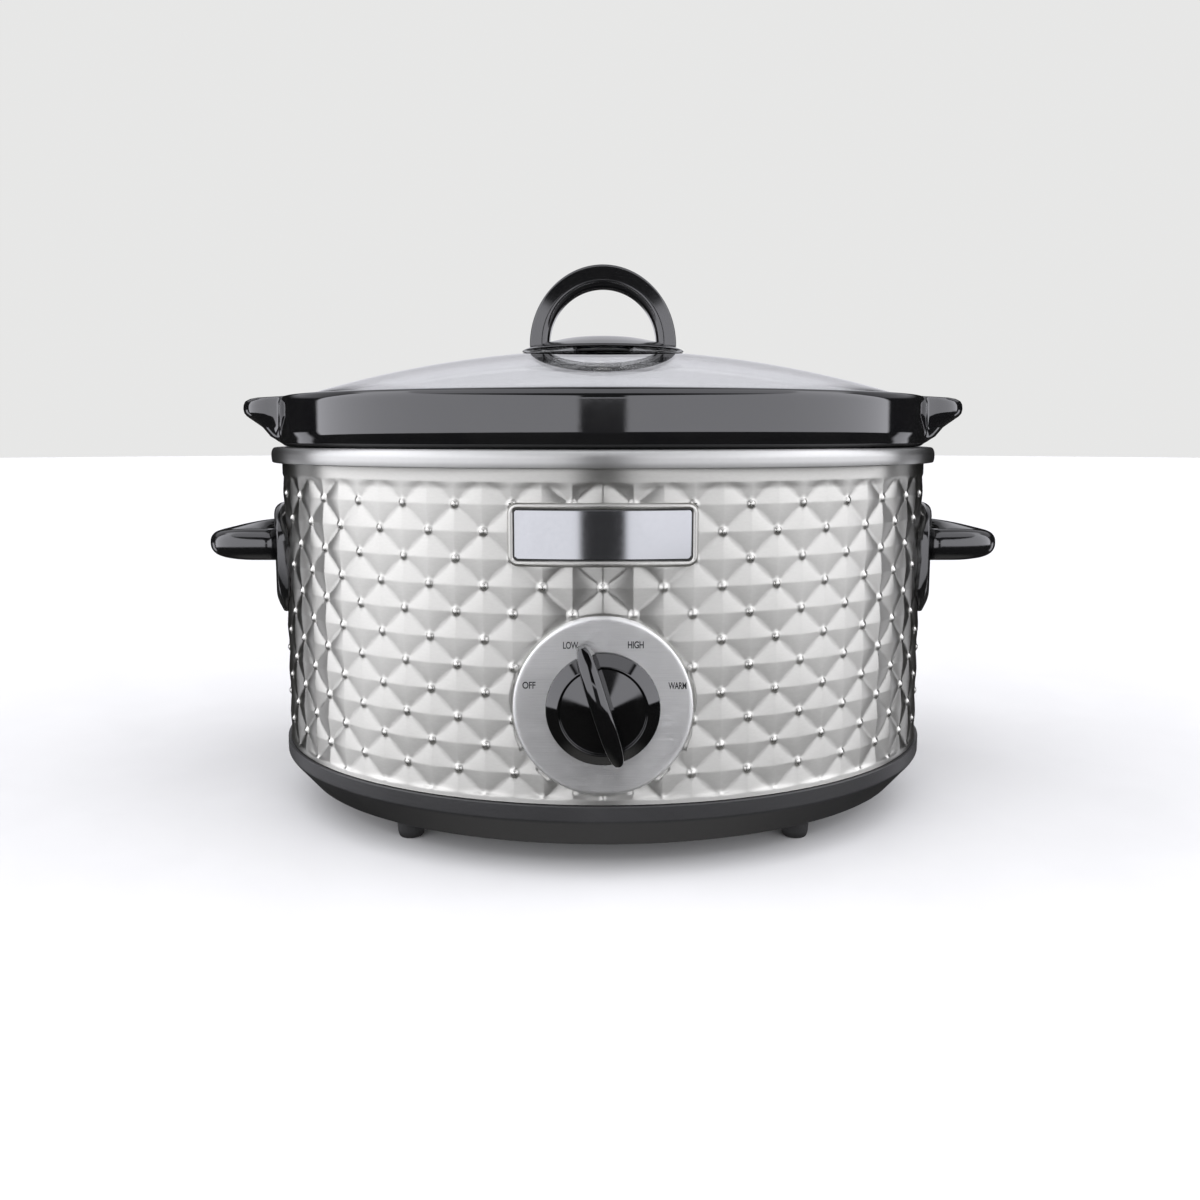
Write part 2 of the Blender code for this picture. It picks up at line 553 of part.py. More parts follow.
def make_lid_handle(lift):
    """Thin lens-shaped disc and an arched grip, moulded in one piece."""
    hub = GLASS_TOP + 0.0014
    profile = [(0.0, hub), (0.0155, hub), (0.0160, hub + 0.0012), (0.0395, DISC_EDGE - 0.0006),
               (DISC_R, DISC_EDGE), (0.0405, DISC_EDGE + 0.0010), (0.0330, DISC_EDGE + 0.0034),
               (0.0200, DISC_TOP - 0.0010), (0.0080, DISC_TOP), (0.0, DISC_TOP)]
    disc = turned("lid_handle", profile, BLACK_GLOSS, parent=lift, steps=28)
    rings = []
    for turn in spread(0.0, 1.0, 12):
        a = pi * turn
        outer = (ARCH_OUT[0] * cos(a), ARCH_FOOT + ARCH_OUT[1] * sin(a))
        inner = (ARCH_IN[0] * cos(a), ARCH_IN_FOOT + ARCH_IN[1] * sin(a))
        rings.append(arch_ring(outer, inner, 0.0092 - 0.0020 * sin(a)))
    foot = DISC_EDGE + 0.0004
    start = arch_ring((ARCH_OUT[0] - 0.0004, foot), (ARCH_IN[0], foot), 0.0094)
    finish = arch_ring((-ARCH_OUT[0] + 0.0004, foot), (-ARCH_IN[0], foot), 0.0094)
    arch = make_object("handle_arch", skin([start] + rings + [finish]), None, parent=lift)
    combine(disc, arch, "UNION")
    pilot = rod("lid_screw_pilot", 0.0023, 0.2200, hub + 0.0044)
    pilot.parent = lift
    combine(disc, pilot, "DIFFERENCE")


def arch_ring(outer, inner, depth):
    """Cross-section of the arch between its outer and inner points: wide, with eased edges."""
    points = []
    for k in range(12):
        a = 2 * pi * (k + 0.5) / 12
        radial = signed_power(cos(a), 0.7)
        side = signed_power(sin(a), 0.7)
        part = (1.0 + radial) / 2
        points.append((inner[0] + (outer[0] - inner[0]) * part, depth * side,
                       inner[1] + (outer[1] - inner[1]) * part))
    return points


# ---------------------------------------------------------------- wiring and cord gland

def make_gland():
    """Rubber gland in the back of the wrap; the wall sits in its groove."""
    wall, start = WALL_B, 0.1265
    profile = [(GLAND_BORE, start), (0.0074, start), (0.0074, wall - SHEET - 0.0010),
               (GLAND_NECK, wall - SHEET - 0.0010), (GLAND_NECK, wall + GAP), (0.0085, wall + GAP),
               (0.0085, wall + 0.0025), (0.0062, wall + 0.0035), (0.0055, GLAND_END), (GLAND_BORE, GLAND_END)]
    gland = turned("cord_gland", profile, RUBBER, closed=True)
    place(gland, (0.0, 0.0, GLAND_Z), TO_BACK)


def wire(name, route, finish):
    """A round lead through a few chosen points, smoothed into one curve."""
    points = []
    count = len(route)
    for i in range(count - 1):
        p = [route[max(min(i + k, count - 1), 0)] for k in (-1, 0, 1, 2)]
        for t in (0.0, 0.25, 0.5, 0.75):
            points.append(tuple(0.5 * (2 * b + (c - a) * t + (2 * a - 5 * b + 4 * c - d) * t * t
                                       + (3 * b - a - 3 * c + d) * t ** 3)
                                for a, b, c, d in zip(*p)))
    points.append(route[-1])
    curve = bpy.data.curves.new(name, "CURVE")
    curve.dimensions = "3D"
    curve.bevel_depth = WIRE_R
    curve.bevel_resolution = 1
    curve.use_fill_caps = True
    spline = curve.splines.new("POLY")
    spline.points.add(len(points) - 1)
    for target, point in zip(spline.points, points):
        target.co = (*point, 1.0)
    obj = bpy.data.objects.new(name, curve)
    bpy.context.collection.objects.link(obj)
    curve.materials.append(make_material(name, finish))


def make_wiring():
    floor = BASE_BOTTOM + BASE_FLOOR
    size = (0.0360, 0.0160, 0.0110)
    block("terminal_block", size, (0.0, 0.0850, floor + GAP + size[2] / 2), CERAMIC_WHITE, bevel=0.0008)
    low = floor + 0.0045
    below = DIAL_Z - SWITCH_SIDE / 2 - GAP
    for name, x, finish in (("lead_line", -0.0080, WIRE_RED), ("lead_neutral", 0.0080, WIRE_WHITE)):
        wire(name, [(x, 0.0850 - 0.0083, low), (x, 0.0500, low), (x, 0.0, low), (x, -0.0600, low),
                    (x, -0.1000, low + 0.0010), (x, -0.1180, low + 0.0120), (x, -0.1265, 0.0420),
                    (x, -0.1268, below)], finish)
    beside = SWITCH_SIDE / 2 + GAP
    for name, sign in (("heater_lead_low", -1), ("heater_lead_high", 1)):
        start = (sign * beside, -0.1272, DIAL_Z + 0.004)
        wire(name, [start, (sign * 0.0210, -0.1272, DIAL_Z + 0.005), (sign * 0.0290, -0.1266, DIAL_Z + 0.013),
                    (sign * 0.0340, -0.1245, DIAL_Z + 0.021), (sign * 0.0380, -0.1196, DIAL_Z + 0.026)],
             WIRE_WHITE)


def main():
    clear_scene()
    crock_lift = make_empty("crock_lift", (0.0, 0.0, 0.0))
    lid_lift = make_empty("lid_lift", (0.0, 0.0, 0.0), parent=crock_lift)
    knob_axis = make_empty("knob_axis", (0.0, DIAL_FACE, DIAL_Z), (pi / 2, -KNOB_TILT, 0.0))
    make_base()
    make_wrap()
    make_badge()
    make_pan()
    make_shield()
    make_heater()
    make_fuse()
    make_switch()
    make_wiring()
    make_gland()
    make_side_handles()
    make_knob(knob_axis)
    make_crock(crock_lift)
    make_lid(lid_lift)


main()
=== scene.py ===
from math import asin, cos, hypot, pi, radians, sin, sqrt

import bmesh
import bpy
import numpy as np
from mathutils import Matrix, Vector


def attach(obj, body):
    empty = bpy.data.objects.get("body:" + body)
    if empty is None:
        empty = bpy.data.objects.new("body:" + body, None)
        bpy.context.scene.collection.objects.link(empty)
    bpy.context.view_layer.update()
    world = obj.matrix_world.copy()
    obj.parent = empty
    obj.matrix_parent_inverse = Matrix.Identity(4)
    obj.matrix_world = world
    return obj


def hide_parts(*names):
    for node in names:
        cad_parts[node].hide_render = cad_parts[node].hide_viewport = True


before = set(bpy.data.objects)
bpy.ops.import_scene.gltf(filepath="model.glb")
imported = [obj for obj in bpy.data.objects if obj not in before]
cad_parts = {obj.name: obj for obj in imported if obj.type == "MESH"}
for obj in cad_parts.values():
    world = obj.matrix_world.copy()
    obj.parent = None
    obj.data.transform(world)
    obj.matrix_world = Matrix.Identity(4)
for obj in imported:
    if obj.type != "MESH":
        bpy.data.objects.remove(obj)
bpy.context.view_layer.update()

# An oval slow cooker: an embossed steel housing on a plastic base, a lift-out glazed crock with two lugs,
# a clear domed lid with an arched grip, and a pointer knob on a round brushed dial.

scene = bpy.context.scene
scene.view_settings.view_transform = "Standard"


# ---------------------------------------------------------------- camera
# A moderately wide lens a little over half a metre in front of the pot, level with the crock's band.
# It looks slightly down, and a small shift sets where the pot stands in the frame.

EYE = (0.0, -0.5414, 0.1848)
LENS, SENSOR = 30.51, 36.0
LOOK_DOWN = radians(6.38)
SHIFT = (-0.00245, -0.0431)

camera_data = bpy.data.cameras.new("camera")
camera_data.lens, camera_data.sensor_width = LENS, SENSOR
camera_data.shift_x, camera_data.shift_y = SHIFT
camera_data.clip_start, camera_data.clip_end = 0.01, 50.0
camera = bpy.data.objects.new("camera", camera_data)
camera.location = EYE
camera.rotation_euler = (pi / 2 - LOOK_DOWN, 0.0, 0.0)
scene.collection.objects.link(camera)
scene.camera = camera


# ---------------------------------------------------------------- studio
# Two wide softboxes stand left and right with a narrow gap between them, a third hangs overhead, and
# the room behind is dim. The pot stands on a plain pale floor; its gloss mirrors a darker table.

SOFTBOX = (0.94, 0.94, 1.0)
TABLE_LIGHT = (1.0, 0.985, 0.96)
BACKDROP = (0.80, 0.80, 0.795)

# Turn counts degrees round from the front, the same to left and right, and rise counts degrees up from
# level. A span gives its low edge, its high edge and the width of the fade inside them; a pair gives
# where a fade begins and where it ends.
WALL_LIGHT, WALL_TURN = 3.8, (-10.0, 105.0, 3.0)
WALL_FOOT, FOOT_TILT = (-10.0, -8.0), 3.0
WALL_TOP, TOP_SPREAD = (17.0, 14.0), 0.4
GAP_TURN, BRIDGE_RISE = (5.5, 7.5), (3.2, 6.6, 1.2)

# The other lights: strength, span of turn, span of rise.
ROOF = (2.4, (-50.0, 135.0, 25.0), (40.0, 88.0, 4.0))
WING = (1.6, (110.0, 127.0, 4.0), (-24.0, -2.0, 3.0))
REAR = (0.6, (98.0, 200.0, 14.0), (14.0, 70.0, 8.0))
BACK = (0.86, (161.0, 200.0, 3.0), (-2.0, 40.0, 3.0))
GLOW = (0.15, (-10.0, 8.0, 2.5), (-14.0, 5.0, 2.0))
TABLE_RISE, TABLE_NEAR, TABLE_FAR = (-66.0, -50.0), 0.36, 0.025
TABLE_END, DIM_ROOM = (-8.0, -12.0), 0.012
FLOOR_RADIUS, FLOOR_SIDES = 9.0, 96


def calc(tree, operation, *values):
    """Places one Math node; each value is a number or another node's output."""
    node = tree.nodes.new("ShaderNodeMath")
    node.operation = operation
    for socket, value in zip(node.inputs, values):
        if isinstance(value, (int, float)):
            socket.default_value = value
        else:
            tree.links.new(value, socket)
    return node.outputs[0]


def ramp(tree, value, low, high, bottom=0.0, top=1.0, kind="SMOOTHSTEP"):
    """Runs from bottom to top as value goes from low to high, and stays flat outside."""
    node = tree.nodes.new("ShaderNodeMapRange")
    node.interpolation_type = kind
    tree.links.new(value, node.inputs["Value"])
    for name, number in (("From Min", low), ("From Max", high), ("To Min", bottom), ("To Max", top)):
        node.inputs[name].default_value = number
    return node.outputs[0]


def window(tree, value, low, high, soft):
    """1 between low and high, with soft edges."""
    rise = ramp(tree, value, low, low + soft)
    fall = ramp(tree, value, high - soft, high, 1.0, 0.0)
    return calc(tree, "MULTIPLY", rise, fall)


def tinted(tree, colour, amount):
    """A plain colour times a changing amount."""
    node = tree.nodes.new("ShaderNodeVectorMath")
    node.operation = "SCALE"
    node.inputs[0].default_value = colour
    tree.links.new(amount, node.inputs["Scale"])
    return node.outputs[0]


def softbox(tree, turn, rise, strength, turn_span, rise_span):
    """One light, as bright as its strength inside its spans of turn and rise, and dark outside."""
    inside = calc(tree, "MULTIPLY", window(tree, turn, *turn_span), window(tree, rise, *rise_span))
    return calc(tree, "MULTIPLY", inside, strength)


def light_the_room():
    """Shapes the lights by direction in the room; the camera itself sees only the plain backdrop."""
    world = bpy.data.worlds.new("studio")
    scene.world = world
    world.use_nodes = True
    tree = world.node_tree
    tree.nodes.clear()
    place = tree.nodes.new("ShaderNodeTexCoord")
    parts = tree.nodes.new("ShaderNodeSeparateXYZ")
    tree.links.new(place.outputs["Generated"], parts.inputs[0])
    x, y, z = parts.outputs
    degrees = 180.0 / pi
    from_front = calc(tree, "ARCTAN2", calc(tree, "ABSOLUTE", x), calc(tree, "MULTIPLY", y, -1.0))
    turn = calc(tree, "MULTIPLY", from_front, degrees)
    rise = calc(tree, "MULTIPLY", calc(tree, "ARCSINE", z), degrees)

    # The wall boxes: parted by the gap, which a bridge closes at one height, with a foot that tilts a
    # little from left to right and a top that climbs towards the back.
    foot = calc(tree, "SUBTRACT", rise, calc(tree, "MULTIPLY", x, FOOT_TILT))
    top = calc(tree, "SUBTRACT", rise, calc(tree, "MULTIPLY", turn, TOP_SPREAD))
    parted = calc(tree, "MAXIMUM", ramp(tree, turn, *GAP_TURN), window(tree, rise, *BRIDGE_RISE))
    across = calc(tree, "MULTIPLY", parted, window(tree, turn, *WALL_TURN))
    upward = calc(tree, "MULTIPLY", ramp(tree, foot, *WALL_FOOT), ramp(tree, top, *WALL_TOP))
    bright = calc(tree, "MULTIPLY", calc(tree, "MULTIPLY", across, upward), WALL_LIGHT)
    for join, light in (("MAXIMUM", ROOF), ("ADD", WING), ("ADD", REAR), ("MAXIMUM", BACK), ("ADD", GLOW)):
        bright = calc(tree, join, bright, softbox(tree, turn, rise, *light))
    boxes = tinted(tree, SOFTBOX, bright)

    table = calc(tree, "MULTIPLY", ramp(tree, rise, *TABLE_RISE, TABLE_NEAR, TABLE_FAR, "LINEAR"),
                 ramp(tree, rise, *TABLE_END))
    ground = tinted(tree, TABLE_LIGHT, calc(tree, "ADD", table, DIM_ROOM))
    total = tree.nodes.new("ShaderNodeVectorMath")
    tree.links.new(boxes, total.inputs[0])
    tree.links.new(ground, total.inputs[1])

    lights = tree.nodes.new("ShaderNodeBackground")
    tree.links.new(total.outputs[0], lights.inputs["Color"])
    plain = tree.nodes.new("ShaderNodeBackground")
    plain.inputs["Color"].default_value = (*BACKDROP, 1.0)
    seen = tree.nodes.new("ShaderNodeLightPath")
    pick = tree.nodes.new("ShaderNodeMixShader")
    out = tree.nodes.new("ShaderNodeOutputWorld")
    tree.links.new(seen.outputs["Is Camera Ray"], pick.inputs[0])
    tree.links.new(lights.outputs[0], pick.inputs[1])
    tree.links.new(plain.outputs[0], pick.inputs[2])
    tree.links.new(pick.outputs[0], out.inputs[0])


def fine_grain_group():
    """Stretched noise from 0 to 1: brushing, moulding texture or casting grain by its scale."""
    tree = bpy.data.node_groups.new("fine_grain", "ShaderNodeTree")
    tree.interface.new_socket("Scale", in_out="INPUT", socket_type="NodeSocketFloat")
    tree.interface.new_socket("Stretch", in_out="INPUT", socket_type="NodeSocketVector")
    tree.interface.new_socket("Grain", in_out="OUTPUT", socket_type="NodeSocketFloat")
    given = tree.nodes.new("NodeGroupInput")
    out = tree.nodes.new("NodeGroupOutput")
    place = tree.nodes.new("ShaderNodeTexCoord")
    stretch = tree.nodes.new("ShaderNodeVectorMath")
    stretch.operation = "MULTIPLY"
    noise = tree.nodes.new("ShaderNodeTexNoise")
    noise.inputs["Detail"].default_value = 5.0
    noise.inputs["Roughness"].default_value = 0.6
    tree.links.new(place.outputs["Object"], stretch.inputs[0])
    tree.links.new(given.outputs["Stretch"], stretch.inputs[1])
    tree.links.new(stretch.outputs[0], noise.inputs["Vector"])
    tree.links.new(given.outputs["Scale"], noise.inputs["Scale"])
    tree.links.new(ramp(tree, noise.outputs[0], 0.25, 0.75, kind="LINEAR"), out.inputs[0])
    return tree


def handling_haze_group():
    """Broad soft patches from 0 to 1, as wiping and handling leave on a surface."""
    tree = bpy.data.node_groups.new("handling_haze", "ShaderNodeTree")
    tree.interface.new_socket("Scale", in_out="INPUT", socket_type="NodeSocketFloat")
    tree.interface.new_socket("Haze", in_out="OUTPUT", socket_type="NodeSocketFloat")
    given = tree.nodes.new("NodeGroupInput")
    out = tree.nodes.new("NodeGroupOutput")
    place = tree.nodes.new("ShaderNodeTexCoord")
    noise = tree.nodes.new("ShaderNodeTexNoise")
    noise.inputs["Detail"].default_value = 3.0
    noise.inputs["Distortion"].default_value = 0.8
    tree.links.new(place.outputs["Object"], noise.inputs["Vector"])
    tree.links.new(given.outputs["Scale"], noise.inputs["Scale"])
    tree.links.new(ramp(tree, noise.outputs[0], 0.38, 0.66), out.inputs[0])
    return tree


FINE_GRAIN, HANDLING_HAZE = fine_grain_group(), handling_haze_group()
EVEN = (1.0, 1.0, 1.0)


def surface(name, dark, light, rough, grain, stretch=EVEN, bump=0.02, depth=0.0001, haze=14.0, metal=0.0,
            **plain):
    """One finish. Colour runs from dark to light, and roughness between its two limits, with the mean of
    grain and haze; further names set plain sockets of the shader."""
    material = bpy.data.materials.new(name)
    material.use_nodes = True
    tree = material.node_tree
    shader = tree.nodes["Principled BSDF"]
    shader.inputs["Metallic"].default_value = metal
    for socket, value in plain.items():
        shader.inputs[socket.replace("_", " ")].default_value = value
    fine = tree.nodes.new("ShaderNodeGroup")
    fine.node_tree = FINE_GRAIN
    fine.inputs["Scale"].default_value = grain
    fine.inputs["Stretch"].default_value = stretch
    broad = tree.nodes.new("ShaderNodeGroup")
    broad.node_tree = HANDLING_HAZE
    broad.inputs["Scale"].default_value = haze
    drift = calc(tree, "MULTIPLY", calc(tree, "ADD", fine.outputs[0], broad.outputs[0]), 0.5)
    colour = tree.nodes.new("ShaderNodeMix")
    colour.data_type = "RGBA"
    # Inputs 6 and 7 are this node's two colours, and output 2 is the colour between them.
    colour.inputs[6].default_value, colour.inputs[7].default_value = (*dark, 1.0), (*light, 1.0)
    tree.links.new(drift, colour.inputs[0])
    tree.links.new(colour.outputs[2], shader.inputs["Base Color"])
    tree.links.new(ramp(tree, drift, 0.0, 1.0, *rough, kind="LINEAR"), shader.inputs["Roughness"])
    relief = tree.nodes.new("ShaderNodeBump")
    relief.inputs["Strength"].default_value = bump
    relief.inputs["Distance"].default_value = depth
    tree.links.new(fine.outputs[0], relief.inputs["Height"])
    tree.links.new(relief.outputs[0], shader.inputs["Normal"])
    return material


light_the_room()
floor_rim = [(FLOOR_RADIUS * cos(a), FLOOR_RADIUS * sin(a), 0.0)
             for a in (2 * pi * i / FLOOR_SIDES for i in range(FLOOR_SIDES))]
floor_faces = [(0, i + 1, (i + 1) % FLOOR_SIDES + 1) for i in range(FLOOR_SIDES)]
floor_mesh = bpy.data.meshes.new("studio_floor")
floor_mesh.from_pydata([(0.0, 0.0, 0.0)] + floor_rim, [], floor_faces)
PALE_FLOOR = surface("pale_floor", (0.62, 0.62, 0.605), (0.64, 0.64, 0.625), (0.75, 0.9), 60.0)
floor_mesh.materials.append(PALE_FLOOR)
floor = bpy.data.objects.new("studio_floor", floor_mesh)
floor.visible_glossy = False
scene.collection.objects.link(floor)


# ---------------------------------------------------------------- base tray
# Moulded black polypropylene tray with a spark-textured finish. The wrap drops over its inner lip, and
# one stud through the floor pulls pan, wrap and tray together.

# Half axes of the wrap's oval, and how many points go round it.
WALL_A, WALL_B = 0.1650, 0.1335
AROUND = 240


def eased(line, closed=False, steps=4):
    """Rounds each corner of a line of (a, b, radius) points, leaving some straight between corners."""
    out = []
    count = len(line)
    for i, (a, b, radius) in enumerate(line):
        before, after = line[i - 1], line[(i + 1) % count]
        back, ahead = hypot(before[0] - a, before[1] - b), hypot(after[0] - a, after[1] - b)
        at_end = not closed and i in (0, count - 1)
        cut = 0.0 if at_end else min(radius, 0.48 * back, 0.48 * ahead)
        if cut < 1e-6:
            out.append((a, b))
            continue
        start = (a + (before[0] - a) * cut / back, b + (before[1] - b) * cut / back)
        stop = (a + (after[0] - a) * cut / ahead, b + (after[1] - b) * cut / ahead)
        for k in range(steps + 1):
            t = k / steps
            out.append(tuple((1 - t) ** 2 * start[j] + 2 * t * (1 - t) * (a, b)[j] + t * t * stop[j]
                             for j in (0, 1)))
    return out


def oval_ring(growth, height, around=AROUND):
    """Level ring of points on the oval, grown outwards from the wrap's own."""
    return [((WALL_A + growth) * cos(a), (WALL_B + growth) * sin(a), height)
            for a in (2 * pi * i / around for i in range(around))]


def turned_ring(radius, height, around):
    return [(radius * cos(a), radius * sin(a), height)
            for a in (2 * pi * i / around for i in range(around))]


def skin(rings, loop=False, ends=True):
    """Faces between closed rings of equal length; ends caps the first and last, loop joins them."""
    size = len(rings[0])
    verts = [point for ring in rings for point in ring]
    faces = []
    pairs = list(zip(range(len(rings) - 1), range(1, len(rings)))) + ([(len(rings) - 1, 0)] if loop else [])
    for low, high in pairs:
        for k in range(size):
            after = (k + 1) % size
            faces.append((low * size + k, low * size + after, high * size + after, high * size + k))
    if ends and not loop:
        faces.append(tuple(reversed(range(size))))
        faces.append(tuple(range((len(rings) - 1) * size, len(rings) * size)))
    return verts, faces


def joined(*shells):
    """Several shells as one mesh."""
    verts, faces = [], []
    for more, sides in shells:
        faces += [tuple(i + len(verts) for i in side) for side in sides]
        verts += more
    return verts, faces


def moved(shell, matrix):
    return [tuple(matrix @ Vector(point)) for point in shell[0]], shell[1]


def piece(name, shell, material, body, slot, *nodes, tidy=True):
    """Makes the mesh, shades it, hangs it on its body's empty and hides the imported parts it stands in for;
    tidy welds points that meet and evens the shading."""
    mesh = bpy.data.meshes.new(name)
    mesh.from_pydata(shell[0], [], shell[1])
    if tidy:
        bm = bmesh.new()
        bm.from_mesh(mesh)
        bmesh.ops.remove_doubles(bm, verts=bm.verts, dist=1e-7)
        bmesh.ops.recalc_face_normals(bm, faces=bm.faces)
        bm.to_mesh(mesh)
        bm.free()
    mesh.shade_smooth()
    mesh.materials.append(material)
    made = bpy.data.objects.new(name, mesh)
    scene.collection.objects.link(made)
    if tidy:
        made.modifiers.new("even_shading", "WEIGHTED_NORMAL").keep_sharp = True
    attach(made, body)
    if nodes:
        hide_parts(*nodes)
    return made


def turned_shell(profile, around, loop=False):
    """Turns a line of (radius, height) points about the upright axis."""
    return skin([turned_ring(max(r, 1e-5), z, around) for r, z in profile], loop=loop)


BASE_PLASTIC = surface("base_plastic", (0.010, 0.010, 0.0102), (0.018, 0.018, 0.0183), (0.36, 0.48), 900.0,
                       bump=0.25, depth=0.00008)
BASE_LINE = [(-0.0125, 0.0100, 0.0), (-0.0100, 0.0106, 0.0010), (0.0009, 0.0238, 0.0012),
             (0.0015, 0.0248, 0.0006), (0.0015, 0.0315, 0.0004), (-0.0012, 0.0315, 0.0002),
             (-0.0012, 0.0360, 0.0004), (-0.0032, 0.0360, 0.0004), (-0.0034, 0.0246, 0.0020),
             (-0.0125, 0.0125, 0.0)]
piece("base_tray_shell", skin([oval_ring(g, z) for g, z in eased(BASE_LINE)]), BASE_PLASTIC, "housing",
      "black_matt", "base_tray")


# ---------------------------------------------------------------- feet
# Four soft rubber buttons, moulded with a deep recess. A screw in each recess holds it up against the
# tray's floor.

RUBBER = surface("foot_rubber", (0.005, 0.005, 0.005), (0.010, 0.010, 0.0095), (0.55, 0.72), 700.0,
                 bump=0.3, depth=0.00008)
FOOT_X, FOOT_Y, FOOT_AROUND = 0.0890, 0.0860, 48
FOOT_LINE = [(0.0020, 0.0097, 0.0), (0.0065, 0.0097, 0.0003), (0.0061, 0.0022, 0.0016),
             (0.0053, 0.0, 0.0010), (0.0036, 0.0, 0.0004), (0.0034, 0.0040, 0.0003), (0.0020, 0.0040, 0.0)]
for corner, x, y in (("front_left", -FOOT_X, -FOOT_Y), ("front_right", FOOT_X, -FOOT_Y),
                     ("back_left", -FOOT_X, FOOT_Y), ("back_right", FOOT_X, FOOT_Y)):
    button = turned_shell(eased(FOOT_LINE), FOOT_AROUND, loop=True)
    piece("rubber_foot_" + corner, moved(button, Matrix.Translation((x, y, 0.0))), RUBBER, "housing",
          "rubber", "foot_" + corner)


# ---------------------------------------------------------------- steel wrap
# One sheet of satin stainless steel, 0.8 mm thick, rolled to the oval and lapped at the back. It is
# stamped all round with low pyramids; a small round bump stands where four of them meet.

# The embossing: pitch along the wall, half pitch in height, a row of bumps, and what is stamped up.
PITCH, ROW = 0.02501, 0.01123
BUMP_ROW_Z = 0.1228
PYRAMID, PYRAMID_BULGE, BUMP_R, BUMP_H, RUB_EDGE = 0.00095, 0.45, 0.00200, 0.00120, 0.0004
WRAP_LOW, WRAP_HIGH, SHEET = 0.0318, 0.1767, 0.0008
STAMP_LOW, STAMP_HIGH, STAMP_FADE = 0.0336, 0.1655, 0.0015
SEAM_HALF, SEAM_FADE, SEAM_LAP = 0.0060, 0.0020, 0.0003
DIAL_Z, DIAL_FACE, DIAL_R, DIAL_SINK = 0.0735, -0.1340, 0.0370, 0.0009
BADGE_LOW, BADGE_HIGH, BADGE_HALF, BADGE_SINK = 0.1315, 0.1574, 0.0388, 0.0006
GLAND_Z, GLAND_HOLE = 0.0480, 0.0064

# Grid lines inside each half pitch, close together round the bumps, and how many half pitches there are.
CELL_STEPS = (0.0, 0.037, 0.074, 0.111, 0.150, 0.22, 0.34, 0.5, 0.66, 0.78, 0.850, 0.889, 0.926, 0.963)
CELLS_EACH_WAY, ROWS_BELOW, ROWS_ABOVE = 39, 9, 6


def smooth(value, low, high):
    """0 below low, 1 above high, and an easy curve between."""
    t = np.clip((value - low) / (high - low), 0.0, 1.0)
    return t * t * (3.0 - 2.0 * t)


def wall_table():
    """Distance along the wall from the middle of the front, against the oval's own angle."""
    angle = np.linspace(-1.5 * pi, 0.5 * pi, 20001)
    x, y = WALL_A * np.cos(angle), WALL_B * np.sin(angle)
    run = np.concatenate([[0.0], np.cumsum(np.hypot(np.diff(x), np.diff(y)))])
    return angle, run - run[-1] / 2


WALL_ANGLE, WALL_RUN = wall_table()


def stamping(run, height):
    """How far the sheet stands in from the plain wall at each place, and where the bumps' crowns are."""
    u, w = run / (PITCH / 2), (height - BUMP_ROW_Z) / ROW
    iu, iw = np.floor(u), np.floor(w)
    fu, fw = u - iu, w - iw
    same = (iu + iw) % 2 < 0.5
    away = np.where(same, np.abs(fu - fw), np.abs(fu + fw - 1.0))
    stand = PYRAMID * (away + PYRAMID_BULGE * away * (1.0 - away))
    near = np.full(u.shape, 1.0)
    for du in (0, 1):
        for dw in (0, 1):
            has_bump = (iu + du + iw + dw) % 2 < 0.5
            gap = np.hypot((fu - du) * PITCH / 2, (fw - dw) * ROW)
            near = np.where(has_bump, np.minimum(near, gap), near)
    ball = (BUMP_R ** 2 + BUMP_H ** 2) / (2 * BUMP_H)
    cap = np.sqrt(np.maximum(ball ** 2 - near ** 2, 0.0)) - (ball - BUMP_H)
    stand = np.maximum(stand, np.where(near < BUMP_R, cap, 0.0))
    return stand - PYRAMID, np.clip((BUMP_R - near) / RUB_EDGE, 0.0, 1.0)


def sheet_grid():
    """Distance along the wall and height of each point of the sheet."""
    half, margin = WALL_RUN[-1], 0.0002
    cells = [c + f for c in range(-CELLS_EACH_WAY, CELLS_EACH_WAY) for f in CELL_STEPS]
    run = [c * PITCH / 2 for c in cells if abs(c) < half / (PITCH / 2) - 0.02]
    rows = [BUMP_ROW_Z + (r + f) * ROW for r in range(-ROWS_BELOW, ROWS_ABOVE) for f in CELL_STEPS]
    height = [z for z in rows if WRAP_LOW + margin < z < WRAP_HIGH - margin]
    return np.meshgrid([-half] + run + [half], [WRAP_LOW] + height + [WRAP_HIGH], indexing="ij")


def pressed(s, z, x, front):
    """Growth of the sheet from the plain oval, with its flat lands for the dial and the nameplate, its
    plain edges and its lap at the back."""
    growth, crown = stamping(s, z)
    stamped = smooth(z, STAMP_LOW, STAMP_LOW + STAMP_FADE)
    stamped = stamped * (1.0 - smooth(z, STAMP_HIGH - STAMP_FADE, STAMP_HIGH))
    stamped = stamped * smooth(WALL_RUN[-1] - np.abs(s), SEAM_HALF, SEAM_HALF + SEAM_FADE)
    from_dial = np.where(front, np.hypot(x, z - DIAL_Z), 1.0)
    land = 1.0 - smooth(from_dial, DIAL_R + 0.0008, DIAL_R + 0.0020)
    growth = growth * stamped * (1.0 - land) - DIAL_SINK * land
    crown = crown * stamped * (1.0 - land)
    from_badge = np.maximum(np.abs(x) - BADGE_HALF, np.maximum(BADGE_LOW - z, z - BADGE_HIGH))
    plate = np.where(front, 1.0 - smooth(from_badge, -0.0012, 0.0003), 0.0)
    growth = growth * (1.0 - plate) - BADGE_SINK * plate
    return np.where(s > WALL_RUN[-1] - 0.0001, growth - SEAM_LAP, growth), crown


